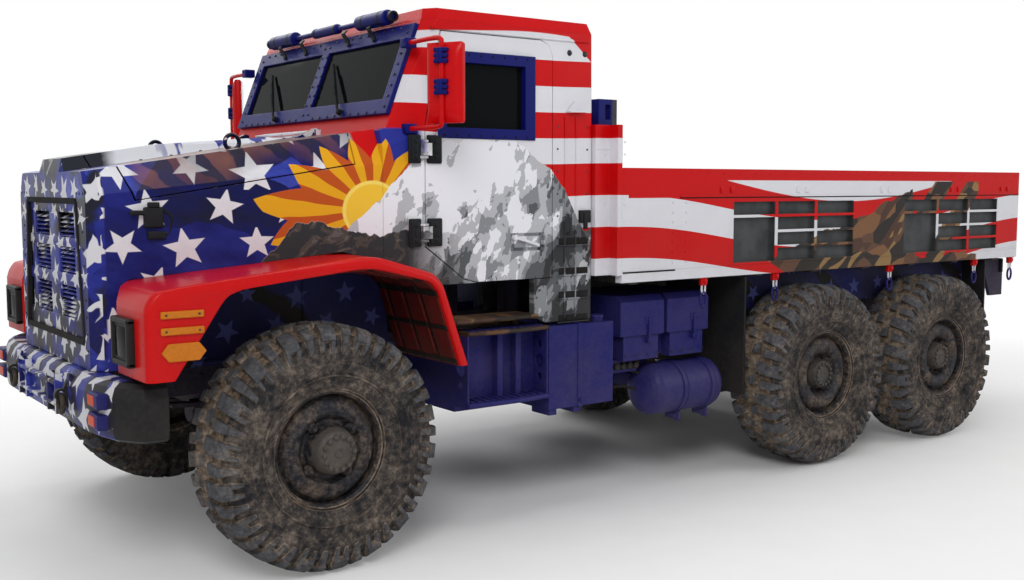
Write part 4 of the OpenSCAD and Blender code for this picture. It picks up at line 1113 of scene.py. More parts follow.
def make_rim(axle, side):
    word = "left" if side == 1 else "right"
    centre = wheel_centre(axle, side)
    profile = [(side * a, r) for a, r in rim_profile(axle)]
    parts = [revolve(profile[5:], centre, "y", 80)]
    hub = [revolve(profile[:6], centre, "y", 64)]
    face = 0.258 if axle == "front" else 0.150
    cap_r = 0.087 if axle == "front" else 0.077
    seat, seat_r = (0.150, 0.160) if axle == "front" else (0.084, 0.148)
    for angle in np.linspace(0, 2 * math.pi, 14, endpoint=False):
        spot = centre + [cap_r * math.cos(angle), side * (face - 0.003), cap_r * math.sin(angle)]
        hub.append(hex_bolt(spot, "y", side, 0.0145, 0.016))
    for angle in np.radians([52, 142, 232, 322]):
        spot = centre + [seat_r * math.cos(angle), side * (seat - 0.02), seat_r * math.sin(angle)]
        parts.append(revolve([(-side * 0.01, 0.032), (side * 0.030, 0.030), (side * 0.040, 0.024), (side * 0.043, 0.001)],
                             spot, "y", 20))
        parts.append(hex_bolt(spot + [0, side * 0.042, 0], "y", side, 0.014, 0.014))
    hub.append(tube(ring_path(centre + [0, side * face, 0], 0.022, 24, "y"), 0.004, 8, closed=True, up=(0, 1, 0)))
    piece(f"hub_{axle}_{word}", hub, finish("hub"), f"wheel_{axle}_{word}", smooth=32)
    stem = centre + np.array([[0.225, side * (face * 0.42), 0.05], [0.245, side * (face * 0.42 + 0.03), 0.06]])
    parts.append(tube(resample(stem, 4), 0.006, 8))
    piece(f"rim_{axle}_{word}_dish", parts, finish("rim"), f"wheel_{axle}_{word}",
          [f"rim_{axle}_{word}"], smooth=32)


# ---------------------------------------------------------------- front end

def shifted(points):
    """Side points counted from the front axle, moved to the truck's frame."""
    return np.asarray(points, float) + [AXLE_X, 0]


# The flare's outer outline and, in the same order, the wheel opening under it: (x from the axle, z)
FLARE_OUTER = ((0.975, 1.127), (0.975, 1.490), (0.925, 1.570), (-0.266, 1.700), (-0.705, 1.570), (-0.891, 1.045))
FLARE_INNER = ((0.834, 1.127), (0.567, 1.523), (0.478, 1.555), (-0.240, 1.632), (-0.665, 1.530), (-0.825, 1.045))


def hood_side_y(x):
    """Half width of the hood at a place behind the front axle: straight from nose to cab."""
    low, high = BOX["hood_shell"]
    share = np.clip((0.975 - x) / 1.475, 0, 1)
    return 0.740 + (high[1] - 0.740) * share


def flare_lines():
    """Outer and inner outlines with softened corners, sampled in step with each other."""
    outer = soften(FLARE_OUTER, 3, 0.10)
    inner = soften(FLARE_INNER, 3, 0.10)
    return resample_pair(outer, inner, 90)


def resample_pair(a, b, count):
    """Two polylines of as many points, both interpolated at the places of the first one's length."""
    run = np.concatenate([[0], np.cumsum(np.linalg.norm(np.diff(a, axis=0), axis=1))])
    at = np.linspace(0, run[-1], count)
    both = [np.stack([np.interp(at, run, p[:, k]) for k in (0, 1)], axis=1) for p in (a, b)]
    return both


def make_fenders(word, side):
    """A flare is its outline carried over a section: flat from the hood's side to near the edge, a
    quarter circle, the broad outer face, a small rolled lip and back under to the inner wall."""
    outer, inner = flare_lines()
    edge, face_y = sizes().flare_edge, BOX["fenders"][1][1]
    inward = inner - outer
    wide = np.linalg.norm(inward, axis=1, keepdims=True)
    inward /= wide
    root = np.maximum(hood_side_y(outer[:, 0]), 0.770 + 0.2 * np.clip((outer[:, 0] - 0.85) / 0.125, 0, 1)) - 0.004
    root = np.where(outer[:, 0] < -0.5, 1.02, root)
    arc = np.linspace(0, math.pi / 2, 8)
    lip = 0.014
    depths = [np.zeros(2), edge * (1 - np.cos(arc)), None, None]
    columns, ys = [], []
    for share in (0.0, 0.5):
        columns.append(np.zeros_like(wide))
        ys.append(root + (face_y - edge - root) * share)
    for a in arc:
        columns.append(np.full_like(wide, edge * (1 - math.cos(a))))
        ys.append(np.full(len(root), face_y - edge + edge * math.sin(a)))
    for a in arc[::2]:
        columns.append(wide - lip + lip * math.sin(a))
        ys.append(np.full(len(root), face_y - lip + lip * math.cos(a)))
    columns.append(wide)
    ys.append(np.full(len(root), face_y - 0.045))
    columns.append(wide - 0.022)
    ys.append(np.full(len(root), face_y - 0.050))
    columns.append(np.full_like(wide, 0.020))
    ys.append(np.full(len(root), face_y - 0.060))
    columns.append(np.full_like(wide, 0.020))
    ys.append(root)
    flat = [outer + inward * c for c in columns]
    points = np.stack([np.stack([f[:, 0] + AXLE_X, y, f[:, 1]], axis=1) for f, y in zip(flat, ys)], axis=1)
    parts = [surface(points, wrap_cols=True, caps=True)]
    xs = np.linspace(0.850, 0.975, 6)
    tops = np.interp(-xs, -outer[11:50, 0], outer[11:50, 1])
    tops = np.minimum(tops, 1.582)
    corner = np.stack([np.stack([xs + AXLE_X, 0.766 + (xs - 0.85) * 1.6, np.full(6, z)], axis=1) for z in (1.127, 1.40)])
    corner = np.concatenate([corner, np.stack([xs + AXLE_X, 0.766 + (xs - 0.85) * 1.6, tops - 0.001], axis=1)[None]])
    back = corner - [0.018, -0.010, 0]
    parts.append(surface(np.concatenate([corner, back[::-1]]), wrap_rows=True))
    front_face = block((AXLE_X + 0.962, AXLE_X + 0.9735), (0.966, face_y - 0.02), (1.127, 1.47), 0.003)
    parts.append(front_face)
    name = f"flare_{word}"
    piece(name, [mirrored(merge(parts), side)], finish("red"), replaces=["fenders"], smooth=40)

    thick = [inner - inward * 0.004, inner + inward * 0.012]
    rows = []
    for line, y0, y1 in ((thick[0], 0.722, face_y - 0.03), (thick[1], 0.722, face_y - 0.03)):
        rows.append(np.stack([np.stack([line[:, 0] + AXLE_X, np.full(len(line), y), line[:, 1]], axis=1)
                              for y in np.linspace(y0, y1, 8)], axis=1))
    ring = np.concatenate([rows[0], rows[1][:, ::-1]], axis=1)
    ribs = [surface(ring, wrap_cols=True, caps=True)]
    for y in np.arange(0.80, face_y - 0.05, 0.19):
        path = np.stack([thick[1][:, 0] + AXLE_X, np.full(len(inner), y), thick[1][:, 1]], axis=1)
        ribs.append(carried([(-0.007, -0.006), (0.007, -0.006), (0.007, 0.006), (-0.007, 0.006)], path[2:-2], up=(0, 1, 0)))
    piece(f"flare_liner_{word}", [mirrored(merge(ribs), side)], finish("liner"), smooth=40)

    wall = [(0.85, 1.075), (0.85, 1.52), (-0.24, 1.64), (-0.69, 1.53), (-0.76, 1.075)]
    rib = tube(np.stack([np.linspace(0.8, -0.7, 20) + AXLE_X, np.full(20, 0.724), np.full(20, 1.10)], axis=1), 0.014, 8)
    post = block((AXLE_X - 0.18, AXLE_X - 0.168), (0.712, 0.728), (1.09, 1.60), 0.003)
    struts = [block((AXLE_X + x - 0.03, AXLE_X + x + 0.03), (0.43, 0.70), (1.085, 1.125), 0.006) for x in (0.76, -0.64)]
    stays = [tube(resample([(AXLE_X - 0.80, 0.45, 1.08), (AXLE_X - 0.84, 0.9, 1.10), (AXLE_X - 0.85, 1.33, 1.12)], 12), 0.013, 8)]
    arch = merge([plate(shifted(wall), 0.702, 0.720), rib, post] + struts + stays)
    piece(f"arch_wall_{word}", [mirrored(arch, side)], finish("banner"), bevel=0.002)


def make_markers(word, side):
    """Amber markers on the flare's outer face: two slim bars with screws and one long hexagon."""
    face_y = BOX["fenders"][1][1]
    bars, screws = [], []
    for z in (1.452, 1.372):
        bars.append(block((AXLE_X + 0.690, AXLE_X + 0.905), (face_y - 0.003, face_y + 0.016), (z - 0.018, z + 0.018), 0.007, 4))
        for x in (0.715, 0.880):
            screws.append(bolt((AXLE_X + x, face_y + 0.015, z), "y", 1, 0.006, 0.004, 8))
    x0, x1, z0, h = 0.682, 0.905, 1.268, 0.044
    hexagon = [(x0, z0), (x0 + 0.035, z0 - h), (x1 - 0.035, z0 - h), (x1, z0), (x1 - 0.035, z0 + h), (x0 + 0.035, z0 + h)]
    bars.append(plate(shifted(hexagon), face_y - 0.003, face_y + 0.014))
    piece(f"markers_{word}", [mirrored(merge(bars), side)], finish("amber"), bevel=0.003)
    piece(f"marker_screws_{word}", [mirrored(merge(screws), side)], finish("iron"))


def frame_ring(y, z, x0, x1, width, corner=0.03):
    """A rectangular frame that faces the nose: its outline, with softened corners, carried as a band."""
    outline = [(y[0], z[0]), (y[1], z[0]), (y[1], z[1]), (y[0], z[1])]
    parts = []
    for (a0, b0), (a1, b1) in zip(outline, outline[1:] + outline[:1]):
        low = (min(a0, a1) - width / 2, min(b0, b1) - width / 2)
        high = (max(a0, a1) + width / 2, max(b0, b1) + width / 2)
        parts.append(rounded_box((x0, low[0], low[1]), (x1, high[0], high[1]), 0.010, 4))
    return merge(parts)


def make_headlights(word, side):
    """A deep square housing with a stepped bezel, screws, a ribbed reflector and a clear cover."""
    low, high = BOX["headlights"]
    y, z = (0.995, high[1] - 0.010), (low[2] + 0.012, high[2] - 0.012)
    shell = [frame_ring(y, z, low[0] - 0.004, high[0] - 0.001, 0.030), frame_ring((y[0] + 0.024, y[1] - 0.024),
             (z[0] + 0.024, z[1] - 0.024), low[0], high[0] - 0.012, 0.022),
             block((low[0] - 0.002, low[0] + 0.010), y, z, 0.003)]
    shell += [bolt((high[0] - 0.004, a, b), "x", 1, 0.006, 0.004, 8) for a in y for b in z]
    piece(f"headlight_housing_{word}", [mirrored(merge(shell), side)], finish("black"), replaces=["headlights"])
    lamps = []
    for row in range(2):
        mid = z[0] + (z[1] - z[0]) * (0.30 + 0.40 * row)
        bowl = [(0.026, 0.001), (0.024, 0.022), (0.016, 0.040), (0.008, 0.046), (0.0, 0.047)]
        lamps.append(revolve([(low[0] + 0.006 + d * 0.6, r) for d, r in bowl], (0, (y[0] + y[1]) / 2, mid), "x", 32))
    piece(f"headlight_lamps_{word}", [mirrored(merge(lamps), side)], finish("clear"))
    cover = block((high[0] - 0.014, high[0] - 0.010), (y[0] + 0.03, y[1] - 0.03), (z[0] + 0.03, z[1] - 0.03), 0.0015)
    piece(f"headlight_cover_{word}", [mirrored(cover, side)], finish("glass"))


def make_grille():
    """Grille: a plate of wide bands around six windows, each filled with thin slanted slats, inside
    a dark surround that narrows upwards."""
    low, high = BOX["grille"]
    x0, x1 = low[0] + 0.012, high[0] - 0.004
    bands = []
    for z in ((1.245, 1.345), (1.520, 1.590), (1.735, 1.790), (1.925, 1.985)):
        half = 0.585 - (z[0] - 1.24) * 0.112
        bands.append(block((x0, x1), (-half, half), z, 0.008))
    for y in ((-0.10, 0.10), (0.40, 0.50), (-0.50, -0.40)):
        bands.append(block((x0 + 0.004, x1 - 0.004), y, (1.25, 1.98), 0.008))
    for z in np.arange(1.360, 1.920, 0.0245):
        for y in ((0.10, 0.40), (-0.40, -0.10)):
            slat = rounded_box((-0.016, y[0], -0.0028), (0.016, y[1], 0.0028), 0.0025, 2)
            bands.append(moved(slat, turn_about("y", 28), ((x0 + x1) / 2 - 0.004, 0, z)))
    piece("grille_panel", bands, finish("nose"), replaces=["grille"], bevel=0.002)
    rim = [(0.588, 1.240), (0.503, 1.990), (-0.503, 1.990), (-0.588, 1.240)]
    rim_path = [(high[0] + 0.002, y, z) for y, z in rim]
    surround = []
    for a, b in zip(rim_path, rim_path[1:] + rim_path[:1]):
        surround.append(carried([(-0.016, -0.016), (0.016, -0.016), (0.016, 0.012), (-0.016, 0.012)],
                                resample([a, b], 6), up=(1, 0, 0)))
    screen = block((low[0] - 0.004, low[0] + 0.006), (-0.56, 0.56), (1.25, 1.98), 0.002)
    piece("grille_surround", surround + [screen], finish("rubber"), bevel=0.004)


def bumper_section(depth):
    """Front face of the bumper from foot to top: a chin that slopes in, a flat face and a bevelled top."""
    low, high = BOX["front_bumper"]
    z0, z1 = low[2], high[2]
    return [(-depth, z0 + 0.055), (-0.050, z0), (-0.012, z0 + 0.02), (0.0, z0 + 0.07), (0.0, z1 - 0.075),
            (-0.018, z1 - 0.028), (-0.05, z1 - 0.004), (-depth, z1 - 0.004)]


def plan_run(points, count):
    """Plan line of (x from the axle, y), softened and evenly spaced, with its outward normals."""
    line = resample(soften(points, 1, 0.06), count)
    ahead = np.gradient(line, axis=0)
    ahead /= np.linalg.norm(ahead, axis=1, keepdims=True)
    return line, np.stack([ahead[:, 1], -ahead[:, 0]], axis=1)


def make_bumper():
    """The bumper is its section carried along the plan line from the middle to one end, then
    mirrored; black corner caps are the same surface, a little proud."""
    half = [(1.108, 0.0), (1.108, 0.88), (1.062, 1.100), (0.975, 1.240), (0.945, 1.260), (0.822, 1.263)]
    line, out = plan_run(half, 24)
    section = np.array(bumper_section(0.15))
    offset = section[None, :, :1] * out[:, None]
    points = np.stack([line[:, None, 0] + offset[..., 0] + AXLE_X, line[:, None, 1] + offset[..., 1],
                       np.broadcast_to(section[None, :, 1], offset.shape[:2])], axis=-1)
    inner = (line[:, 1] < 1.10)
    body_grid = points[: inner.sum() + 1]
    cap_grid = points[inner.sum():].copy()
    body = surface(body_grid, wrap_cols=True, caps=True)
    pads = []
    for side in (1, -1):
        for y in (0.24, 0.40):
            pads.append(block((AXLE_X + 1.10, AXLE_X + 1.145), sorted((side * (y - 0.012), side * (y + 0.012))), (0.84, 1.06), 0.006))
        pads.append(block((AXLE_X + 1.095, AXLE_X + 1.112), sorted((side * 0.47, side * 0.57)), (0.85, 1.08), 0.005))
    for z in (0.885, 1.000):
        pads.append(block((AXLE_X + 1.10, AXLE_X + 1.150), (-0.40, 0.40), (z, z + 0.020), 0.006))
    piece("bumper_body", [mirrored(body, s) for _, s in SIDES] + pads, finish("nose"),
          replaces=["front_bumper"], smooth=14)
    cap = surface(cap_grid, wrap_cols=True, caps=True)
    piece("bumper_caps", [mirrored(cap, s) for _, s in SIDES], finish("black"), smooth=14)
    lugs = []
    for side in (1, -1):
        angle = np.linspace(math.pi * 0.62, -math.pi * 0.62, 16)
        head = np.stack([AXLE_X + 1.146 + 0.0335 * np.cos(angle), 0.965 + 0.0335 * np.sin(angle)], axis=1)
        outline = np.concatenate([[(AXLE_X + 1.10, 1.070)], head, [(AXLE_X + 1.10, 0.862)]])
        inner_ring = np.stack([AXLE_X + 1.146 + 0.0205 * np.cos(np.linspace(math.pi, -math.pi, len(outline))),
                               0.965 + 0.0205 * np.sin(np.linspace(math.pi, -math.pi, len(outline)))], axis=1)
        rows = [np.stack([o[:, 0], np.full(len(o), y), o[:, 1]], axis=1)
                for o, y in ((outline, 0.536), (inner_ring, 0.536), (inner_ring, 0.504), (outline, 0.504))]
        lugs.append(mirrored(surface(np.stack(rows), wrap_rows=True, wrap_cols=True), side))
    piece("tow_lugs", lugs, finish("black"), bevel=0.002)
    boxes, lenses = [], []
    for z in (1.000, 0.895):
        boxes.append(block((AXLE_X + 1.02, AXLE_X + 1.118), (0.905, 1.075), (z - 0.040, z + 0.040), 0.014, 4))
        lenses.append(block((AXLE_X + 1.112, AXLE_X + 1.1215), (0.918, 1.020), (z - 0.026, z + 0.026), 0.003))
    piece("reflector_boxes", [mirrored(merge(boxes), s) for _, s in SIDES], finish("navy"))
    piece("reflector_lenses", [mirrored(merge(lenses), s) for _, s in SIDES], finish("orange"))


def make_hood_fittings():
    """Latches on the nose sides, hinge bolts, lid handles and a row of intake slots by the cab."""
    latches = []
    for side in (1, -1):
        y = hood_side_y(0.74)
        x, z = AXLE_X + 0.72, 1.905
        latch = [block((x - 0.05, x + 0.05), (y - 0.006, y + 0.030), (z - 0.055, z + 0.055), 0.010, 4),
                 block((x - 0.06, x + 0.035), (y, y + 0.036), (z - 0.115, z - 0.072), 0.008, 4),
                 block((x + 0.04, x + 0.125), (y + 0.004, y + 0.026), (z + 0.012, z + 0.038), 0.008, 4),
                 block((x - 0.03, x + 0.03), (y + 0.004, y + 0.034), (z + 0.052, z + 0.080), 0.006, 3),
                 tube(soften([(x - 0.05, y + 0.02, z + 0.04), (x - 0.10, y + 0.03, z), (x - 0.08, y + 0.02, z - 0.09),
                              (x - 0.03, y + 0.02, z - 0.09)], 3), 0.006, 8)]
        latches.append(mirrored(merge(latch), side))
    piece("hood_latches", latches, finish("black"))
    low, high = BOX["hood_lid"]
    bolts = []
    for side in (1, -1):
        for x in np.linspace(0.60, -0.28, 6):
            share = (0.975 - x) / 1.475
            bolts.append(bolt((AXLE_X + x, side * (0.28), 2.155 + 0.239 * share - 0.001), "z", 1, 0.010, 0.006))
    piece("lid_bolts", bolts, finish("iron"), "hood_lid")
    vents = []
    for k in range(5):
        x = AXLE_X - 0.395 - k * 0.018
        vents.append(block((x - 0.004, x + 0.004), (0.02, 0.40), (2.388 + 0.003 * k, 2.402 + 0.003 * k), 0.002, 2))
        vents.append(block((x - 0.004, x + 0.004), (-0.40, -0.02), (2.388 + 0.003 * k, 2.402 + 0.003 * k), 0.002, 2))
    piece("cowl_slats", vents, finish("white"))
    rivets = []
    for side in (1, -1):
        for y in np.linspace(0.52, 0.64, 3):
            rivets.append(bolt((AXLE_X + 1.028, side * y, 2.03), "x", 1, 0.008, 0.004, 8))
        for z in np.linspace(1.20, 1.92, 9):
            rivets.append(bolt((AXLE_X + 1.029, side * (0.650 - (z - 1.2) * 0.06), z), "x", 1, 0.007, 0.004, 8))
    piece("nose_rivets", rivets, finish("black"))


# ---------------------------------------------------------------- cab

def skin_y(name, x, z):
    """Outer left face of a CAD node at a place: a ray sent inwards from well outside it."""
    hit, spot, _, _ = frame["nodes"][name].ray_cast((x, 2.5, z), (0, -1, 0))
    return spot[1] if hit else BOX[name][1][1]


def front_x(name, y, z):
    """Front face of a CAD node at a place: a ray sent backwards from ahead of the nose."""
    hit, spot, _, _ = frame["nodes"][name].ray_cast((6.0, y, z), (-1, 0, 0))
    return spot[0] if hit else BOX[name][1][0]


def leaning(part, x, y, z, degrees=-22):
    """A part made round the origin, leaned back with the windshield and put in place."""
    return moved(part, turn_about("y", degrees), (x, y, z))


def make_windshield_fittings():
    """Bolt heads round both panes, and two wipers: a spindle, a sprung arm and a blade each."""
    low, high = BOX["windshield_frame"]
    bolts = []
    for side in (1, -1):
        for z in np.linspace(low[2] + 0.05, high[2] - 0.05, 8):
            for y in (0.035, 1.015 - (z - low[2]) * 0.03):
                bolts.append(leaning(bolt((0, 0, 0), "x", 1, 0.0085, 0.006, 8), front_x("windshield_frame", side * y, z), side * y, z))
        for z in (low[2] + 0.022, high[2] - 0.022):
            for y in np.linspace(0.12, 0.92, 9):
                bolts.append(leaning(bolt((0, 0, 0), "x", 1, 0.0085, 0.006, 8), front_x("windshield_frame", side * y, z), side * y, z))
    piece("windshield_bolts", bolts, finish("iron"))
    pane_low, pane_high = BOX["windshield_glass"]
    wipers = []
    for y0, y1 in ((0.50, 0.16), (-0.42, -0.76)):
        foot = np.array([front_x("windshield_frame", y0, pane_low[2] - 0.03) + 0.012, y0, pane_low[2] - 0.03])
        top = np.array([pane_high[0] - 0.108, y1, pane_high[2] - 0.09])
        wipers.append(leaning(revolve([(-0.012, 0.020), (0.016, 0.018), (0.020, 0.001)], (0, 0, 0), "x", 16), *foot))
        arm = resample([foot + [0.012, 0, 0], foot + (top - foot) * 0.55 + [0.026, 0, 0]], 8)
        wipers.append(carried([(-0.008, -0.004), (0.008, -0.004), (0.008, 0.004), (-0.008, 0.004)], arm, up=(1, 0, 0.4)))
        blade = resample([foot + (top - foot) * 0.16 + [0.012, 0, 0], top + [0.010, 0, 0]], 14)
        wipers.append(carried([(-0.006, -0.006), (0.006, -0.006), (0.004, 0.007), (-0.004, 0.007)], blade, up=(1, 0, 0.4)))
        wipers.append(carried([(-0.010, 0.006), (0.010, 0.006), (0.008, 0.014), (-0.008, 0.014)], blade[3:-3], up=(1, 0, 0.4)))
    piece("wipers", wipers, finish("rubber"))


def make_roof_bar():
    """Rolled sun blind: a thin rod, thick end rolls and a slimmer middle one, clamps and straps."""
    low, high = BOX["roof_bar"]
    x, z = (low[0] + high[0]) / 2, high[2] - 0.046
    rolls = [tube(resample([(x, low[1] + 0.01, z), (x, high[1] - 0.01, z)], 4), 0.016, 16)]
    for y0, y1, r in ((0.44, 0.80, 0.045), (-0.17, 0.17, 0.030), (-0.80, -0.44, 0.045)):
        end = 0.008
        rolls.append(revolve([(y0, 0.001), (y0, r - end), (y0 + end, r), (y1 - end, r), (y1, r - end), (y1, 0.001)],
                             (x, 0, z), "y", 32))
    clamps, straps = [], []
    for y in (-0.845, -0.72, -0.52, -0.14, 0.14, 0.52, 0.72, 0.845):
        r = 0.046 if 0.4 < abs(y) < 0.8 else 0.032
        clamps.append(revolve([(y - 0.012, r - 0.012), (y - 0.012, r), (y + 0.012, r), (y + 0.012, r - 0.012)],
                              (x, 0, z), "y", 28))
    for y in (-0.62, -0.30, 0.30, 0.62):
        foot = np.array([front_x("windshield_frame", y, 2.955) + 0.006, y, 2.945])
        line = soften([(x + 0.02, y, z - 0.03), (x + 0.045, y, z - 0.05), tuple(foot + [0.006, 0, 0.03]), tuple(foot)], 2)
        straps.append(carried([(-0.020, -0.004), (0.020, -0.004), (0.020, 0.004), (-0.020, 0.004)], line, up=(1, 0, 0.4)))
        straps.append(leaning(hex_bolt((0.004, 0, 0), "x", 1, 0.009, 0.008), *foot))
    piece("sun_blind_rolls", rolls, finish("navy"), replaces=["roof_bar"], smooth=40)
    piece("sun_blind_clamps", clamps + straps, finish("black"))


def make_mirrors(word, side):
    """Mirror: a housing whose back is crowned, a glass set in its rear face, a C-shaped tube from
    two pillar feet, and two clamps that hold the housing."""
    low, high = BOX["mirrors"]
    z0, z1 = low[2] + 0.045, high[2] - 0.045
    x, y = AXLE_X - 0.672, 1.450
    u = np.linspace(-1, 1, 17)
    a, b = np.meshgrid(u, u, indexing="ij")
    crown = (1 - np.abs(a) ** 4) * (1 - np.abs(b) ** 6)
    back = np.stack([-0.010 - 0.0 * a + 0.0, a * 0.110, b * (z1 - z0) / 2], axis=-1)
    back[..., 0] = -0.036 + 0.030 * crown ** 0.6
    shape = [rounded_box((-0.078, -0.112, -(z1 - z0) / 2), (-0.030, 0.112, (z1 - z0) / 2), 0.016, 5), surface(back)]
    turn = turn_about("z", 28)
    housing = moved(merge(shape), turn, (x, y, (z0 + z1) / 2))
    arm = soften([(x + 0.012, 1.110, z1 + 0.022), (x + 0.010, 1.30, z1 + 0.026), (x, 1.452, z1 + 0.024), (x, 1.454, z1 - 0.02),
                  (x, 1.454, z0 + 0.02), (x, 1.452, z0 - 0.020), (x + 0.010, 1.30, z0 - 0.020), (x + 0.012, 1.120, z0 - 0.020)], 3, 0.22)
    frame_tube = tube(resample(arm, 70), 0.014, 12, up=(1, 0, 0))
    piece(f"mirror_housing_{word}", [mirrored(merge([housing]), side)], finish("red"), replaces=["mirrors"], smooth=50)
    piece(f"mirror_tube_{word}", [mirrored(frame_tube, side)], finish("red"), smooth=50)
    clamps = []
    for z in (z0 + 0.195, z1 - 0.075):
        for lobe in (-0.030, 0.0, 0.030):
            clamps.append(moved(rounded_box((-0.030, -0.040, lobe - 0.012), (0.024, 0.040, lobe + 0.012), 0.006), turn, (x, y, z)))
        clamps.append(moved(rounded_box((-0.030, -0.016, -0.042), (0.030, 0.016, 0.042), 0.008), turn, (x, y, z)))
    for z in (z0 - 0.020, z1 + 0.024):
        clamps.append(block((x - 0.030, x + 0.045), (1.085, 1.150), (z - 0.028, z + 0.028), 0.006))
        clamps.append(bolt((x + 0.044, 1.13, z + 0.012), "x", 1, 0.008, 0.005))
    piece(f"mirror_clamps_{word}", [mirrored(merge(clamps), side)], finish("navy"))
    pane = moved(rounded_box((-0.0815, -0.098, -(z1 - z0) / 2 + 0.014), (-0.0785, 0.098, (z1 - z0) / 2 - 0.014), 0.0012, 2), turn,
                 (x, y, (z0 + z1) / 2))
    piece(f"mirror_glass_{word}", [mirrored(pane, side)], finish("mirror"))


def make_cab_fittings(word, side):
    """Outside of the cab: corner grab rail, drain strip over the door, slots of the ladder behind it,
    latch, small step, panel bolts."""
    back = AXLE_X - 1.690
    strips, bolts, slots = [], [], []
    y_top = skin_y("cab_shell", AXLE_X - 1.2, 2.985)
    gutter = [(AXLE_X + x, skin_y("cab_shell", AXLE_X - 1.75, min(2.9, 2.975)) + 0.004, 2.978) for x in np.linspace(-0.80, -1.98, 30)]
    strips.append(carried([(-0.007, -0.008), (0.007, -0.008), (0.007, 0.006), (-0.007, 0.006)], gutter))
    for x in (-1.83, -1.955):
        spot = (AXLE_X + x, skin_y("cab_shell", AXLE_X + x, 2.90) - 0.001, 2.90)
        bolts.append(hex_bolt(spot, "y", 1, 0.014, 0.010))
    for x in (-1.735, -1.975):
        for z in np.linspace(1.32, 2.44, 9):
            spot = (AXLE_X + x, skin_y("cab_shell", AXLE_X + x, z) - 0.001, z)
            bolts.append(bolt(spot, "y", 1, 0.007, 0.004, 8))
    for x in (-1.792, -1.881):
        line = [(AXLE_X + x, skin_y("cab_shell", AXLE_X + x, z) + 0.001, z) for z in np.linspace(1.235, 2.50, 20)]
        strips.append(carried([(-0.005, -0.003), (0.005, -0.003), (0.005, 0.004), (-0.005, 0.004)], line, up=(0, 1, 0)))
    y = skin_y("cab_shell", AXLE_X - 1.86, 2.3)
    for z in (1.72, 1.53, 1.38, 1.23):
        slots.append(block((AXLE_X - 1.985, AXLE_X - 1.745), (y - 0.008, y + 0.003), (z - 0.021, z + 0.021), 0.004))
        strips.append(block((AXLE_X - 1.995, AXLE_X - 1.735), (y - 0.004, y + 0.010), (z - 0.033, z - 0.023), 0.004))
    step = np.array([(AXLE_X - 1.80, y, 2.585), (AXLE_X - 1.80, y + 0.055, 2.535), (AXLE_X - 1.93, y + 0.055, 2.535), (AXLE_X - 1.93, y, 2.585)])
    strips.append(block((AXLE_X - 1.93, AXLE_X - 1.80), (y - 0.003, y + 0.045), (2.528, 2.540), 0.004))
    strips.append(plate([(AXLE_X - 1.93, 2.53), (AXLE_X - 1.80, 2.53), (AXLE_X - 1.865, 2.60)], y, y + 0.008))
    del step
    strips.append(tube(soften([(AXLE_X - 1.815, y - 0.004, 1.905), (AXLE_X - 1.815, y + 0.035, 1.895), (AXLE_X - 1.815, y + 0.035, 1.775),
                               (AXLE_X - 1.815, y - 0.004, 1.765)], 2), 0.009, 10, up=(1, 0, 0)))
    latch = [block((AXLE_X - 1.995, AXLE_X - 1.905), (y - 0.004, y + 0.022), (1.835, 1.915), 0.006),
             block((AXLE_X - 1.960, AXLE_X - 1.930), (y + 0.015, y + 0.032), (1.795, 1.900), 0.005)]
    piece(f"cab_trim_{word}", [mirrored(merge(strips), side)], finish("cab"), smooth=40)
    piece(f"cab_bolts_{word}", [mirrored(merge(bolts), side)], finish("iron"))
    piece(f"ladder_slots_{word}", [mirrored(merge(slots), side)], finish("rubber"))
    piece(f"cab_latch_{word}", [mirrored(merge(latch), side)], finish("black"))


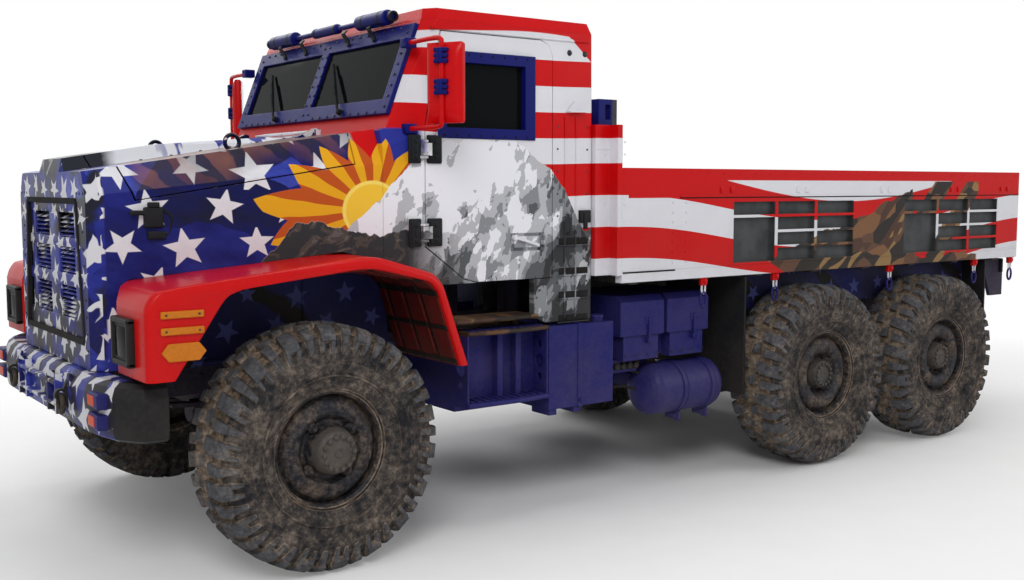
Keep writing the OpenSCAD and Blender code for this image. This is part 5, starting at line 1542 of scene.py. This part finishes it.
def make_door_fittings(word, side):
    """Door: hinge straps with bolts, a lever handle in its plate, a lock, a window seal, and on the
    inside a padded trim panel with a pull and a window crank."""
    body = f"door_{word}"
    node = f"door_{word}"
    low, high = BOX["door_left"]
    iron, trim, seal = [], [], []
    leaves = []
    for z in (1.800, 2.280):
        for x0, x1, store in ((-0.865, -0.765, iron), (-0.722, -0.640, leaves)):
            y = 1.140
            store.append(block((AXLE_X + x0, AXLE_X + x1), (y - 0.002, y + 0.018), (z - 0.082, z + 0.082), 0.009, 4))
            store.append(block((AXLE_X + x0 + 0.012, AXLE_X + x1 - 0.012), (y + 0.015, y + 0.026), (z - 0.066, z + 0.066), 0.006, 4))
            for dz in (-0.045, 0.045):
                store.append(hex_bolt(((2 * AXLE_X + x0 + x1) / 2, y + 0.025, z + dz), "y", 1, 0.010, 0.007))
            store.append(block((AXLE_X + x0 + 0.030, AXLE_X + x1 - 0.030), (y + 0.024, y + 0.030), (z - 0.022, z + 0.022), 0.004))
    piece(f"hinge_leaves_{word}", [mirrored(merge(leaves), side)], finish("black"))
    hx, hz, y = low[0] + 0.285, 1.752, 1.132
    lever = soften([(hx, y, hz), (hx, y + 0.016, hz), (hx - 0.06, y + 0.018, hz - 0.016), (hx - 0.175, y + 0.016, hz - 0.050)], 2)
    handle = [carried([(-0.008, -0.010), (0.008, -0.010), (0.008, 0.010), (-0.008, 0.010)], resample(lever, 18), up=(0, 1, 0)),
              revolve([(y - 0.010, 0.020), (y + 0.018, 0.018), (y + 0.022, 0.012), (y + 0.022, 0.001)], (hx, 0, hz), "y", 20),
              revolve([(0.0, 0.013), (0.006, 0.012), (0.007, 0.006), (0.003, 0.001)], (hx - 0.02, 1.139, 1.60), "y", 18)]
    piece(f"door_handle_{word}", [mirrored(merge(handle), side)], finish("white"), body)
    piece(f"door_iron_{word}", [mirrored(merge(iron), side)], finish("black"), body)
    g0, g1 = BOX["door_glass_left"]
    band = 0.014
    outline = [(g0[0] - band, g0[2] - band), (g1[0] + band, g0[2] - band), (g1[0] + band, g1[2] + band), (g0[0] - band, g1[2] + band)]
    ring = np.array(outline + outline[:1])
    for (x0, z0), (x1, z1) in zip(ring[:-1], ring[1:]):
        yw = g1[1] + 0.030
        path = resample([(x0, yw, z0), (x1, yw, z1)], 6)
        seal.append(carried([(-0.009, -0.012), (0.009, -0.012), (0.009, 0.008), (-0.009, 0.008)], path, up=(0, 1, 0)))
    for x in np.linspace(g0[0], g1[0], 8):
        for z in (g0[2] - 0.030, g1[2] + 0.030):
            seal.append(bolt((x, skin_y(node if side == 1 else "door_left", x, z) - 0.0005, z), "y", 1, 0.007, 0.004, 8))
    piece(f"door_seal_{word}", [mirrored(merge(seal), side)], finish("rubber"), body)
    inner = low[1]
    panel = rounded_box((low[0] + 0.08, inner - 0.016, 1.62), (high[0] - 0.10, inner + 0.001, 2.34), 0.012, 5)
    crank = [tube(soften([(low[0] + 0.30, inner - 0.010, 2.14), (low[0] + 0.30, inner - 0.035, 2.14), (low[0] + 0.40, inner - 0.035, 2.08)], 2), 0.007, 8),
             bolt((low[0] + 0.40, inner - 0.03, 2.08), "y", -1, 0.014, 0.03),
             tube(soften([(low[0] + 0.45, inner - 0.008, 2.20), (low[0] + 0.45, inner - 0.045, 2.20), (low[0] + 0.68, inner - 0.045, 2.22),
                          (low[0] + 0.68, inner - 0.008, 2.22)], 2), 0.010, 8)]
    piece(f"door_trim_{word}", [mirrored(panel, side)], finish("rubber"), body)
    piece(f"door_crank_{word}", [mirrored(merge(crank), side)], finish("black"), body)


def cushion(low, high, crown, channels, axis):
    """A padded block: the rounded box's points, pushed outwards by a crown that falls to nothing at
    its edges, with sewn channels as narrow dips across it."""
    low, high = np.asarray(low, float), np.asarray(high, float)
    centre, half = (low + high) / 2, (high - low) / 2
    ticks = np.linspace(-1, 1, 41)
    u, v = np.meshgrid(ticks, ticks, indexing="ij")
    one = np.ones_like(u)
    parts = []
    for s in ((one, u, v), (-one, v, u), (v, one, u), (u, -one, v), (u, v, one), (v, u, -one)):
        q = np.stack(s, axis=-1)
        power = (np.abs(q) ** 9).sum(-1, keepdims=True) ** (-1 / 9)
        p = q * power
        swell = crown * np.prod(np.where(np.abs(q) > 0.999, 1, 1 - q ** 4), axis=-1, keepdims=True)
        run = (q[..., axis:axis + 1] + 1) / 2 * channels
        dip = np.exp(-((run - np.round(run)) / 0.05) ** 2) * 0.55 * crown * (np.abs(q[..., axis:axis + 1]) < 0.95)
        face = np.where(np.abs(q) > 0.999, np.sign(q), 0)
        parts.append(surface(centre + p * (half - crown) + face * (swell - dip)))
    return merge(parts)


def make_seats():
    """Two seats: seat and back cushions with sewn channels, and black shells and pedestals."""
    low, high = BOX["seats"]
    base = low[2]
    for word, side in SIDES:
        y = (0.258, 0.752)
        seat = cushion((low[0] + 0.13, y[0], base + 0.030), (high[0], y[1], base + 0.135), 0.012, 4, 1)
        back = cushion((low[0] + 0.012, y[0], base + 0.145), (low[0] + 0.125, y[1], high[2] - 0.13), 0.012, 5, 2)
        rest = cushion((low[0] + 0.022, y[0] + 0.12, high[2] - 0.12), (low[0] + 0.115, y[1] - 0.12, high[2] - 0.002), 0.010, 1, 1)
        for name, part in (("seat", seat), ("back", back), ("headrest", rest)):
            thing = piece(f"{name}_cushion_{word}", [mirrored(part, side)], finish("cloth"), smooth=60,
                          replaces=["seats"] if name == "seat" else ())
        shell = [block((low[0] + 0.02, high[0] - 0.02), (y[0] + 0.03, y[1] - 0.03), (base + 0.001, base + 0.028), 0.008),
                 block((low[0] + 0.001, low[0] + 0.010), (y[0] + 0.03, y[1] - 0.03), (base + 0.05, high[2] - 0.14), 0.003)]
        for yy in (y[0] + 0.06, y[1] - 0.06):
            shell.append(tube(soften([(low[0] + 0.05, yy, base + 0.015), (low[0] + 0.006, yy, base + 0.10), (low[0] + 0.006, yy, high[2] - 0.10)], 2), 0.006, 8, up=(0, 1, 0)))
        piece(f"seat_shell_{word}", [mirrored(merge(shell), side)], finish("black"))


# ---------------------------------------------------------------- side boxes

def make_side_fittings(word, side):
    """Boxes and tanks behind the front wheel: tank straps, level plate, chained cap, battery-box
    latches, socket strip, tread grips, air-tank fittings and hoses."""
    t0, t1 = BOX["fuel_tanks"]
    b0, b1 = BOX["battery_boxes"]
    s0, s1 = BOX["step_boxes"]
    a0, a1 = BOX["air_tanks"]
    navy, iron, hose = [], [], []
    navy.append(revolve([(0.0, 0.012), (0.014, 0.012), (0.016, 0.001)], (t0[0] + 0.281, 1.194, 0.70), "y", 12))
    for x in (a0[0] + 0.150, a1[0] - 0.300):
        for lip in (x - 0.020, x + 0.020):
            navy.append(revolve([(lip - 0.007, 0.180), (lip - 0.006, 0.190), (lip + 0.006, 0.190), (lip + 0.007, 0.180)], (0, 1.0, 0.66), "x", 64))
        navy.append(block((x - 0.022, x + 0.022), (0.98, 1.08), (0.438, 0.478), 0.008))
        navy.append(block((x - 0.010, x + 0.010), (1.06, 1.11), (0.425, 0.495), 0.005))
    cap = np.array([t0[0] + 0.085, 1.120, t1[2] - 0.002])
    navy.append(revolve([(-0.012, 0.047), (0.0, 0.044), (0.001, 0.030), (0.0015, 0.001)], cap, "z", 28))
    hose.append(tube(resample(soften([tuple(cap + [0.045, 0.0, -0.02]), tuple(cap + [0.085, 0.03, -0.036]), tuple(cap + [0.12, 0.045, -0.036])], 2), 14), 0.003, 6))
    for lid in ((-2.710, -2.310), (-3.140, -2.740)):
        x = AXLE_X + lid[0] + (lid[1] - lid[0]) * 0.36
        for z, r in ((1.165, 0.018), (1.020, 0.022)):
            navy.append(revolve([(b1[1] - 0.01, r), (b1[1] + 0.016, r * 0.9), (b1[1] + 0.020, r * 0.6), (b1[1] + 0.020, 0.001)], (x, 0, z), "y", 16))
        navy.append(block((x - 0.011, x + 0.011), (b1[1] + 0.002, b1[1] + 0.018), (1.02, 1.165), 0.006))
        navy.append(block((x - 0.034, x + 0.034), (b1[1] - 0.004, b1[1] + 0.006), (1.130, 1.190), 0.004))
        navy.append(block((AXLE_X + lid[0] + 0.01, AXLE_X + lid[1] - 0.01), (b1[1] - 0.006, b1[1] - 0.0005), (1.056, 1.066), 0.002))
        for x in np.linspace(AXLE_X + lid[0] + 0.05, AXLE_X + lid[1] - 0.05, 4):
            iron.append(bolt((x, b1[1] - 0.003, 0.925), "y", 1, 0.008, 0.003, 8))
    for x in np.linspace(-2.52, -2.35, 4):
        spot = (AXLE_X + x, 1.005, 0.845)
        iron.append(revolve([(0.0, 0.026), (0.026, 0.024), (0.030, 0.018), (0.026, 0.001)], spot, "y", 18))
    navy.append(block((AXLE_X - 2.545, AXLE_X - 2.32), (0.985, 1.008), (0.800, 0.889), 0.006))
    for z, y0, y1 in ((0.772, 1.07, 1.19), (1.201, 1.03, 1.19)):
        for x in np.arange(-1.58, -1.02, 0.052):
            navy.append(block((AXLE_X + x, AXLE_X + x + 0.020), (y0, y1), (z - 0.003, z + 0.006), 0.002, 2))
    u = np.linspace(-1, 1, 30)
    bulge = s1[1] - 0.006 + 0.024 * (1 - u ** 2)
    edge_x = AXLE_X - 1.315 + 0.300 * u
    navy.append(tube(np.stack([edge_x, bulge, np.full(30, 0.757)], axis=1), 0.015, 10))
    lip = tube(np.stack([edge_x, bulge, np.full(30, 1.189)], axis=1), 0.012, 10)
    top_lip = tube(np.stack([AXLE_X - 1.22 + 0.28 * u, np.full(30, 1.180), np.full(30, 1.262)], axis=1), 0.012, 10)
    piece(f"tread_edges_{word}", [mirrored(merge([lip, top_lip]), side)], finish("tread"))
    for x in (a0[0] + 0.02, a1[0] - 0.02):
        iron.append(revolve([(-0.018, 0.018), (0.018, 0.018)], (x, 1.0, 0.66), "x", 12))
    for z in (0.60, 0.72):
        line = soften([(AXLE_X - 2.60, 0.99, z + 0.05), (AXLE_X - 2.46, 0.93, z + 0.10), (AXLE_X - 2.32, 0.85, z + 0.04), (AXLE_X - 2.22, 0.62, z + 0.02)], 3)
        hose.append(tube(resample(line, 30), 0.009, 8))
    piece(f"box_straps_{word}", [mirrored(merge(navy), side)], finish("navy"))
    piece(f"box_irons_{word}", [mirrored(merge(iron), side)], finish("black"))
    piece(f"air_lines_{word}", [mirrored(merge(hose), side)], finish("rubber"))


# ---------------------------------------------------------------- cargo bed

def shackle(x, z, y):
    """A hanging tie point: a bracket with a pin, two flat links and a ring below."""
    bracket = merge([block((x - 0.052, x + 0.052), (y, y + 0.040), (z + 0.008, z + 0.048), 0.010),
                     block((x - 0.030, x + 0.030), (y, y + 0.034), (z - 0.042, z + 0.030), 0.010),
                     revolve([(y + 0.030, 0.018), (y + 0.046, 0.016), (y + 0.048, 0.001)], (x, 0, z - 0.010), "y", 14)])
    links = merge([carried([(-0.004, -0.003), (0.004, -0.003), (0.004, 0.003), (-0.004, 0.003)],
                           ring_path((x, y + 0.020, z - 0.066), 0.020, 20, "y", squash=1.6), closed=True, up=(0, 1, 0))]
                  + [tube(resample([(x + s * 0.018, y + 0.02, z - 0.02), (x + s * 0.014, y + 0.02, z - 0.10)], 4), 0.007, 8, up=(0, 1, 0)) for s in (-1, 1)])
    ring = tube(ring_path((x, y + 0.020, z - 0.138), 0.030, 24, "y", squash=1.65), 0.009, 8, closed=True, up=(0, 1, 0))
    return bracket, links, ring


def make_bed_fittings(word, side):
    """Bed side: ledge under the top rail, rivets, tarpaulin hooks, hanging tie points, lower rail,
    corner plate and rear lamps."""
    low, high = BOX["bed_sides"]
    y = high[1] - 0.001
    rails, rivets, brackets, links, rings = [], [], [], [], []
    for z, depth in ((2.000, 0.005), (1.520, 0.004)):
        start = AXLE_X - 2.70 if z > 1.9 else AXLE_X - 2.185
        path = resample([(start, y, z), (low[0] + 0.004, y, z)], 40)
        rails.append(carried([(-0.003, -0.007), (depth, -0.007), (depth, 0.007), (-0.003, 0.007)], path[:, [0, 1, 2]], up=(0, 0, 1)))
    for x in (-2.637, -2.760):
        for z in np.linspace(1.56, 1.96, 7):
            rivets.append(bolt((AXLE_X + x, y, z), "y", 1, 0.010, 0.005, 8))
    for x in np.linspace(-2.80, -6.82, 26):
        rivets.append(bolt((AXLE_X + x, y, 2.155), "y", 1, 0.0065, 0.004, 8))
    for x in (-3.90, -4.00, -4.90, -5.00, -5.85, -5.95, -3.10, -3.20, -6.60, -6.70):
        rails.append(block((AXLE_X + x - 0.016, AXLE_X + x + 0.016), (y - 0.002, y + 0.010), (2.020, 2.062), 0.004))
    for x in (-2.960, -3.700, -5.070, -6.265, -6.827):
        bracket, link, ring = shackle(AXLE_X + x, 1.425, y - 0.045)
        brackets.append(bracket)
        links.append(link)
        rings.append(ring)
    seam = block((low[0] + 0.004, AXLE_X - 2.70), (y - 0.002, y + 0.0035), (1.985, 1.992), 0.001, 2)
    floor_seam = block((AXLE_X - 2.66, AXLE_X - 2.19), (y - 0.002, y + 0.0035), (1.500, 1.510), 0.001, 2)
    piece(f"bed_seams_{word}", [mirrored(merge([seam, floor_seam]), side)], finish("rubber"))
    skirt = block((AXLE_X - 6.72, AXLE_X - 3.375), (0.965, 0.982), (1.150, 1.438), 0.004)
    piece(f"under_panel_{word}", [mirrored(skirt, side)], finish("banner"))
    piece(f"bed_rails_{word}", [mirrored(merge(rails), side)], finish("bed"))
    piece(f"bed_rivets_{word}", [mirrored(merge(rivets), side)], finish("bed"))
    piece(f"tie_brackets_{word}", [mirrored(merge(brackets), side)], finish("red"))
    piece(f"tie_links_{word}", [mirrored(merge(links), side)], finish("white"))
    piece(f"tie_rings_{word}", [mirrored(merge(rings), side)], finish("navy"))
    lamps = []
    x = low[0]
    for k, yy in enumerate((0.86, 0.97, 1.08)):
        lamps.append(revolve([(0.0, 0.045), (-0.012, 0.045), (-0.018, 0.036), (-0.020, 0.001)], (AXLE_X - 6.868, yy, 1.355), "x", 28))
    piece(f"tail_lamps_{word}", [mirrored(merge(lamps[:2]), side)], finish("tail"), smooth=50)
    piece(f"turn_lamp_{word}", [mirrored(lamps[2], side)], finish("amber"), smooth=50)
    plate_box = [block((AXLE_X - 6.872, AXLE_X - 6.848), (0.80, 1.14), (1.295, 1.420), 0.008),
                 block((AXLE_X - 6.862, AXLE_X - 6.820), (0.90, 1.04), (1.40, 1.47), 0.006)]
    piece(f"lamp_box_{word}", [mirrored(merge(plate_box), side)], finish("black"))


def make_bed_front():
    """Headboard: a raised border with corner bolts on its front and back faces, and rope hooks."""
    low, high = BOX["bed_front"]
    parts, bolts = [], []
    for side in (1, -1):
        for z in np.linspace(1.62, 2.38, 8):
            bolts.append(bolt((AXLE_X - 2.10, side * 1.169, z), "y", side, 0.008, 0.004, 8))
            bolts.append(bolt((AXLE_X - 2.20, side * 1.249, min(z, 2.35)), "y", side, 0.007, 0.004, 8))
        parts.append(block((AXLE_X - 2.175, AXLE_X - 2.035), sorted((side * 1.168, side * 1.173)), (2.30, 2.315), 0.002))
    piece("headboard_bolts", bolts, finish("bed"))
    piece("headboard_lines", parts, finish("bed"))


def make_bed_inside():
    """Cargo floor: long boards with gaps, cross ribs, and rings sunk in the floor."""
    low, high = BOX["bed_floor"]
    boards, rings = [], []
    for y in np.linspace(-1.085, 1.085, 15):
        boards.append(block((low[0] + 0.10, high[0] - 0.05), (y - 0.068, y + 0.068), (high[2] - 0.002, high[2] + 0.006), 0.002, 2))
    for x in np.linspace(-6.4, -2.6, 6):
        for y in (-0.93, 0.93):
            rings.append(tube(ring_path((AXLE_X + x, y, high[2] + 0.012), 0.034, 20, "z"), 0.006, 8, closed=True))
            rings.append(block((AXLE_X + x - 0.05, AXLE_X + x + 0.05), (y - 0.05, y + 0.05), (high[2] + 0.004, high[2] + 0.009), 0.003))
    piece("deck_boards", boards, finish("deck"))
    piece("deck_rings", rings, finish("iron"))


def make_tailgate_fittings():
    """Tailgate: upright ribs, corner locks with handles, and a plain blank plate."""
    low, high = BOX["tailgate"]
    ribs, irons = [], []
    for y in np.linspace(-0.98, 0.98, 7):
        ribs.append(block((low[0] - 0.004, low[0] + 0.010), (y - 0.030, y + 0.030), (low[2] + 0.08, high[2] - 0.03), 0.003))
    for side in (1, -1):
        irons.append(block((low[0] - 0.010, low[0] + 0.012), sorted((side * 1.10, side * 1.17)), (high[2] - 0.16, high[2] - 0.05), 0.005))
        irons.append(tube(soften([(low[0] - 0.008, side * 1.135, high[2] - 0.10), (low[0] - 0.010, side * 1.06, high[2] - 0.10),
                                  (low[0] - 0.010, side * 1.02, high[2] - 0.14)], 2), 0.006, 8, up=(1, 0, 0)))
    piece("tailgate_ribs", ribs, finish("bed"), "tailgate")
    piece("tailgate_locks", irons, finish("black"), "tailgate")


def make_chassis_fittings():
    """Rows of rail bolts, brake hoses to the axles and a wiring loom along the frame."""
    bolts, hoses = [], []
    for side in (1, -1):
        for x in np.arange(-6.7, 0.6, 0.22):
            y = skin_y("frame_rails", AXLE_X + x, 0.98) if side == 1 else None
            if y is None or not 0.3 < y < 0.6:
                y = 0.435
            bolts.append(bolt((AXLE_X + x, side * (y - 0.001), 0.98), "y", side, 0.012, 0.008, 8))
        for x in (0.10, -3.98, -5.48):
            line = soften([(AXLE_X + x, side * 0.40, 0.98), (AXLE_X + x + 0.05, side * 0.52, 0.93), (AXLE_X + x, side * 0.66, 0.84), (AXLE_X + x, side * 0.80, 0.76)], 3)
            hoses.append(tube(resample(line, 24), 0.010, 8))
        run = np.stack([np.linspace(AXLE_X - 6.6, AXLE_X + 0.5, 60), np.full(60, side * 0.30), 1.06 + 0.012 * np.sin(np.linspace(0, 40, 60))], axis=1)
        hoses.append(tube(run, 0.012, 8))
    piece("rail_bolts", bolts, finish("chassis"))
    piece("brake_hoses", hoses, finish("rubber"))


# ---------------------------------------------------------------- stage

def make_stage():
    """A wide pale floor, a pale world that is plain white to the camera, three large soft lamps and
    the camera."""
    spread = 40.0
    ticks = np.linspace(-spread, spread, 9)
    u, v = np.meshgrid(ticks, ticks, indexing="ij")
    points, faces = surface(np.stack([u, v, np.full_like(u, -0.001)], axis=-1))
    mesh = bpy.data.meshes.new("studio_floor")
    mesh.from_pydata(points.tolist(), [], faces[0].tolist())
    floor = bpy.data.objects.new("studio_floor", mesh)
    bpy.context.scene.collection.objects.link(floor)
    material = bpy.data.materials.new("Studio Floor")
    material.use_nodes = True
    tree = material.node_tree
    tree.nodes.clear()
    g = Graph(tree)
    coordinates = g.node("ShaderNodeTexCoord")
    place = Wire(g, coordinates.outputs["Object"])
    shader = g.node("ShaderNodeBsdfPrincipled")
    mottled = g.noise(place, 3.0, 4.0)
    tone = g.blend(mottled, linear("#F2F2F2"), linear("#FAFAFA"))
    g.feed(shader.inputs["Base Color"], tone)
    shader.inputs["Roughness"].default_value = 0.8
    glow = g.node("ShaderNodeEmission")
    glow.inputs["Color"].default_value = (1, 1, 1, 1)
    glow.inputs["Strength"].default_value = 1.0
    path = g.node("ShaderNodeLightPath")
    mix = g.node("ShaderNodeMixShader")
    x, y, _ = g.split(place)
    reach = g.math("SQRT", x * x * 0.10 + (y * y) * 0.30)
    fade = g.edge(reach - 1.9, 2.2)
    seen = g.math("MULTIPLY", fade, Wire(g, path.outputs["Is Camera Ray"]))
    seen = g.high(seen, Wire(g, path.outputs["Is Glossy Ray"]) * 0.0)
    g.feed(mix.inputs[0], seen)
    tree.links.new(shader.outputs[0], mix.inputs[1])
    tree.links.new(glow.outputs[0], mix.inputs[2])
    output = g.node("ShaderNodeOutputMaterial")
    tree.links.new(mix.outputs[0], output.inputs["Surface"])
    mesh.materials.append(material)

    world = bpy.data.worlds.new("Studio")
    bpy.context.scene.world = world
    world.use_nodes = True
    tree = world.node_tree
    tree.nodes.clear()
    g = Graph(tree)
    path = g.node("ShaderNodeLightPath")
    seen = g.high(Wire(g, path.outputs["Is Camera Ray"]),
                  g.high(Wire(g, path.outputs["Is Glossy Ray"]), Wire(g, path.outputs["Is Transmission Ray"])))
    sky = g.node("ShaderNodeBackground")
    sky.inputs["Color"].default_value = (1, 1, 1, 1)
    g.feed(sky.inputs["Strength"], seen * (1 - 0.40) + 0.40)
    output = g.node("ShaderNodeOutputWorld")
    tree.links.new(sky.outputs[0], output.inputs["Surface"])

    for name, spot, aim, size, power in (
            ("key", (7.5, 8.5, 8.0), (0.5, 0.8, 1.2), 5.0, 520),
            ("fill", (-9.0, 9.0, 6.0), (-1.0, 0.5, 1.2), 6.0, 260),
            ("back", (2.0, -9.0, 8.0), (0.0, 0.0, 1.5), 6.0, 280),
            ("top", (0.0, 0.0, 9.5), (0.0, 0.0, 0.0), 7.0, 220)):
        lamp = bpy.data.lights.new(name, "AREA")
        lamp.shape = "DISK"
        lamp.size = size
        lamp.energy = power
        holder = bpy.data.objects.new(name, lamp)
        bpy.context.scene.collection.objects.link(holder)
        holder.location = spot
        aim_at(holder, spot, aim)
    camera = bpy.data.cameras.new("camera")
    camera.lens = 39.98
    camera.sensor_width = 36
    holder = bpy.data.objects.new("camera", camera)
    bpy.context.scene.collection.objects.link(holder)
    holder.location = (5.6138, 6.7546, 2.0729)
    holder.rotation_euler = (math.radians(84.744), 0, math.radians(143.677))
    bpy.context.scene.camera = holder
    bpy.context.scene.view_settings.view_transform = "Standard"


def aim_at(holder, spot, aim):
    """Turns a lamp so that its -z axis points from its place to a target."""
    from mathutils import Vector
    holder.rotation_euler = (Vector(aim) - Vector(spot)).to_track_quat("-Z", "Y").to_euler()


# ---------------------------------------------------------------- operators

NODE_FINISHES = {
    "hood": ("hood_shell", "hood_lid"),
    "cab": ("cab_shell", "door_left", "door_right"),
    "red": ("cab_roof",),
    "navy": ("windshield_frame", "fuel_tanks", "battery_boxes", "air_tanks"),
    "tread": ("step_boxes",),
    "glass": ("windshield_glass", "rear_glass", "door_glass_left", "door_glass_right"),
    "bed": ("bed_sides", "bed_front", "tailgate"),
    "deck": ("bed_floor",),
    "chassis": ("frame_rails", "front_axle", "tandem_axles", "leaf_springs", "knuckle_left", "knuckle_right"),
    "cast": ("powertrain", "tow_shackles"),
    "black": ("mudguards", "dashboard"),
}


def truck_operator(word, label, text, run):
    """An operator class that runs one maker function."""
    def execute(self, context):
        run()
        return {"FINISHED"}

    return type(f"TRUCK_OT_{word}", (bpy.types.Operator,), {
        "bl_idname": f"truck.{word}", "bl_label": label, "bl_options": {"REGISTER", "UNDO"},
        "__doc__": text, "execute": execute})


def paint_cad_nodes():
    for key, nodes in NODE_FINISHES.items():
        for name in nodes:
            finish_node(name, finish(key))


def make_all(maker, *groups):
    """A function that calls a maker for each group of arguments."""
    def run():
        for values in groups:
            maker(*values)
    return run


WHEELS = [(axle, side) for axle in AXLES for _, side in SIDES]
OPERATORS = [
    truck_operator("stage", "Stage", "Floor, world, lamps and camera", make_stage),
    truck_operator("paint", "Livery", "Finish of every carried-over part", paint_cad_nodes),
    truck_operator("tyres", "Tyres", "Six tyres with block tread", make_all(make_tyre, *WHEELS)),
    truck_operator("rims", "Rims", "Six rims with hubs and bolts", make_all(make_rim, *WHEELS)),
    truck_operator("fenders", "Fender flares", "Flares with liners and arch walls", make_all(make_fenders, *SIDES)),
    truck_operator("markers", "Side markers", "Amber markers on the flares", make_all(make_markers, *SIDES)),
    truck_operator("headlights", "Headlights", "Square headlights in deep housings", make_all(make_headlights, *SIDES)),
    truck_operator("grille", "Grille", "Grille panel, slats and surround", make_grille),
    truck_operator("bumper", "Front bumper", "Bumper, caps, tow lugs and reflectors", make_bumper),
    truck_operator("hood_fittings", "Hood fittings", "Latches, bolts and cowl slats", make_hood_fittings),
    truck_operator("windshield", "Windshield fittings", "Frame bolts and wipers", make_windshield_fittings),
    truck_operator("roof_bar", "Sun blind", "Rolls, clamps and straps over the windshield", make_roof_bar),
    truck_operator("mirrors", "Mirrors", "Housings, tubes, clamps and glass", make_all(make_mirrors, *SIDES)),
    truck_operator("cab_fittings", "Cab fittings", "Trim, bolts, ladder slots and latches", make_all(make_cab_fittings, *SIDES)),
    truck_operator("door_fittings", "Door fittings", "Hinges, handles, seals and inner trim", make_all(make_door_fittings, *SIDES)),
    truck_operator("seats", "Seats", "Padded seats on shells", make_seats),
    truck_operator("boxes", "Box fittings", "Straps, latches, treads and hoses", make_all(make_side_fittings, *SIDES)),
    truck_operator("bed_fittings", "Bed fittings", "Rails, rivets, tie points and lamps", make_all(make_bed_fittings, *SIDES)),
    truck_operator("bed_front", "Headboard fittings", "Bolts and panel lines", make_bed_front),
    truck_operator("bed_inside", "Cargo floor", "Boards and tie rings", make_bed_inside),
    truck_operator("tailgate_fittings", "Tailgate fittings", "Ribs and locks", make_tailgate_fittings),
    truck_operator("chassis_fittings", "Chassis fittings", "Rail bolts and hoses", make_chassis_fittings),
]


class TRUCK_PT_panel(bpy.types.Panel):
    """Lists the truck's makers in the 3D view's sidebar."""
    bl_label = "Decorated Truck"
    bl_idname = "TRUCK_PT_panel"
    bl_space_type = "VIEW_3D"
    bl_region_type = "UI"
    bl_category = "Truck"

    def draw(self, context):
        for kind in OPERATORS:
            self.layout.operator(kind.bl_idname)


CLASSES = [TruckPaints, TruckSizes, *OPERATORS, TRUCK_PT_panel]


def register():
    for kind in CLASSES:
        bpy.utils.register_class(kind)
    bpy.types.Scene.truck_paints = bpy.props.PointerProperty(type=TruckPaints)
    bpy.types.Scene.truck_sizes = bpy.props.PointerProperty(type=TruckSizes)


def unregister():
    del bpy.types.Scene.truck_sizes
    del bpy.types.Scene.truck_paints
    for kind in reversed(CLASSES):
        bpy.utils.unregister_class(kind)


def main():
    register()
    bpy.context.view_layer.update()
    for kind in OPERATORS:
        getattr(bpy.ops.truck, kind.bl_idname.split(".")[1])()


if __name__ == "__main__":
    main()
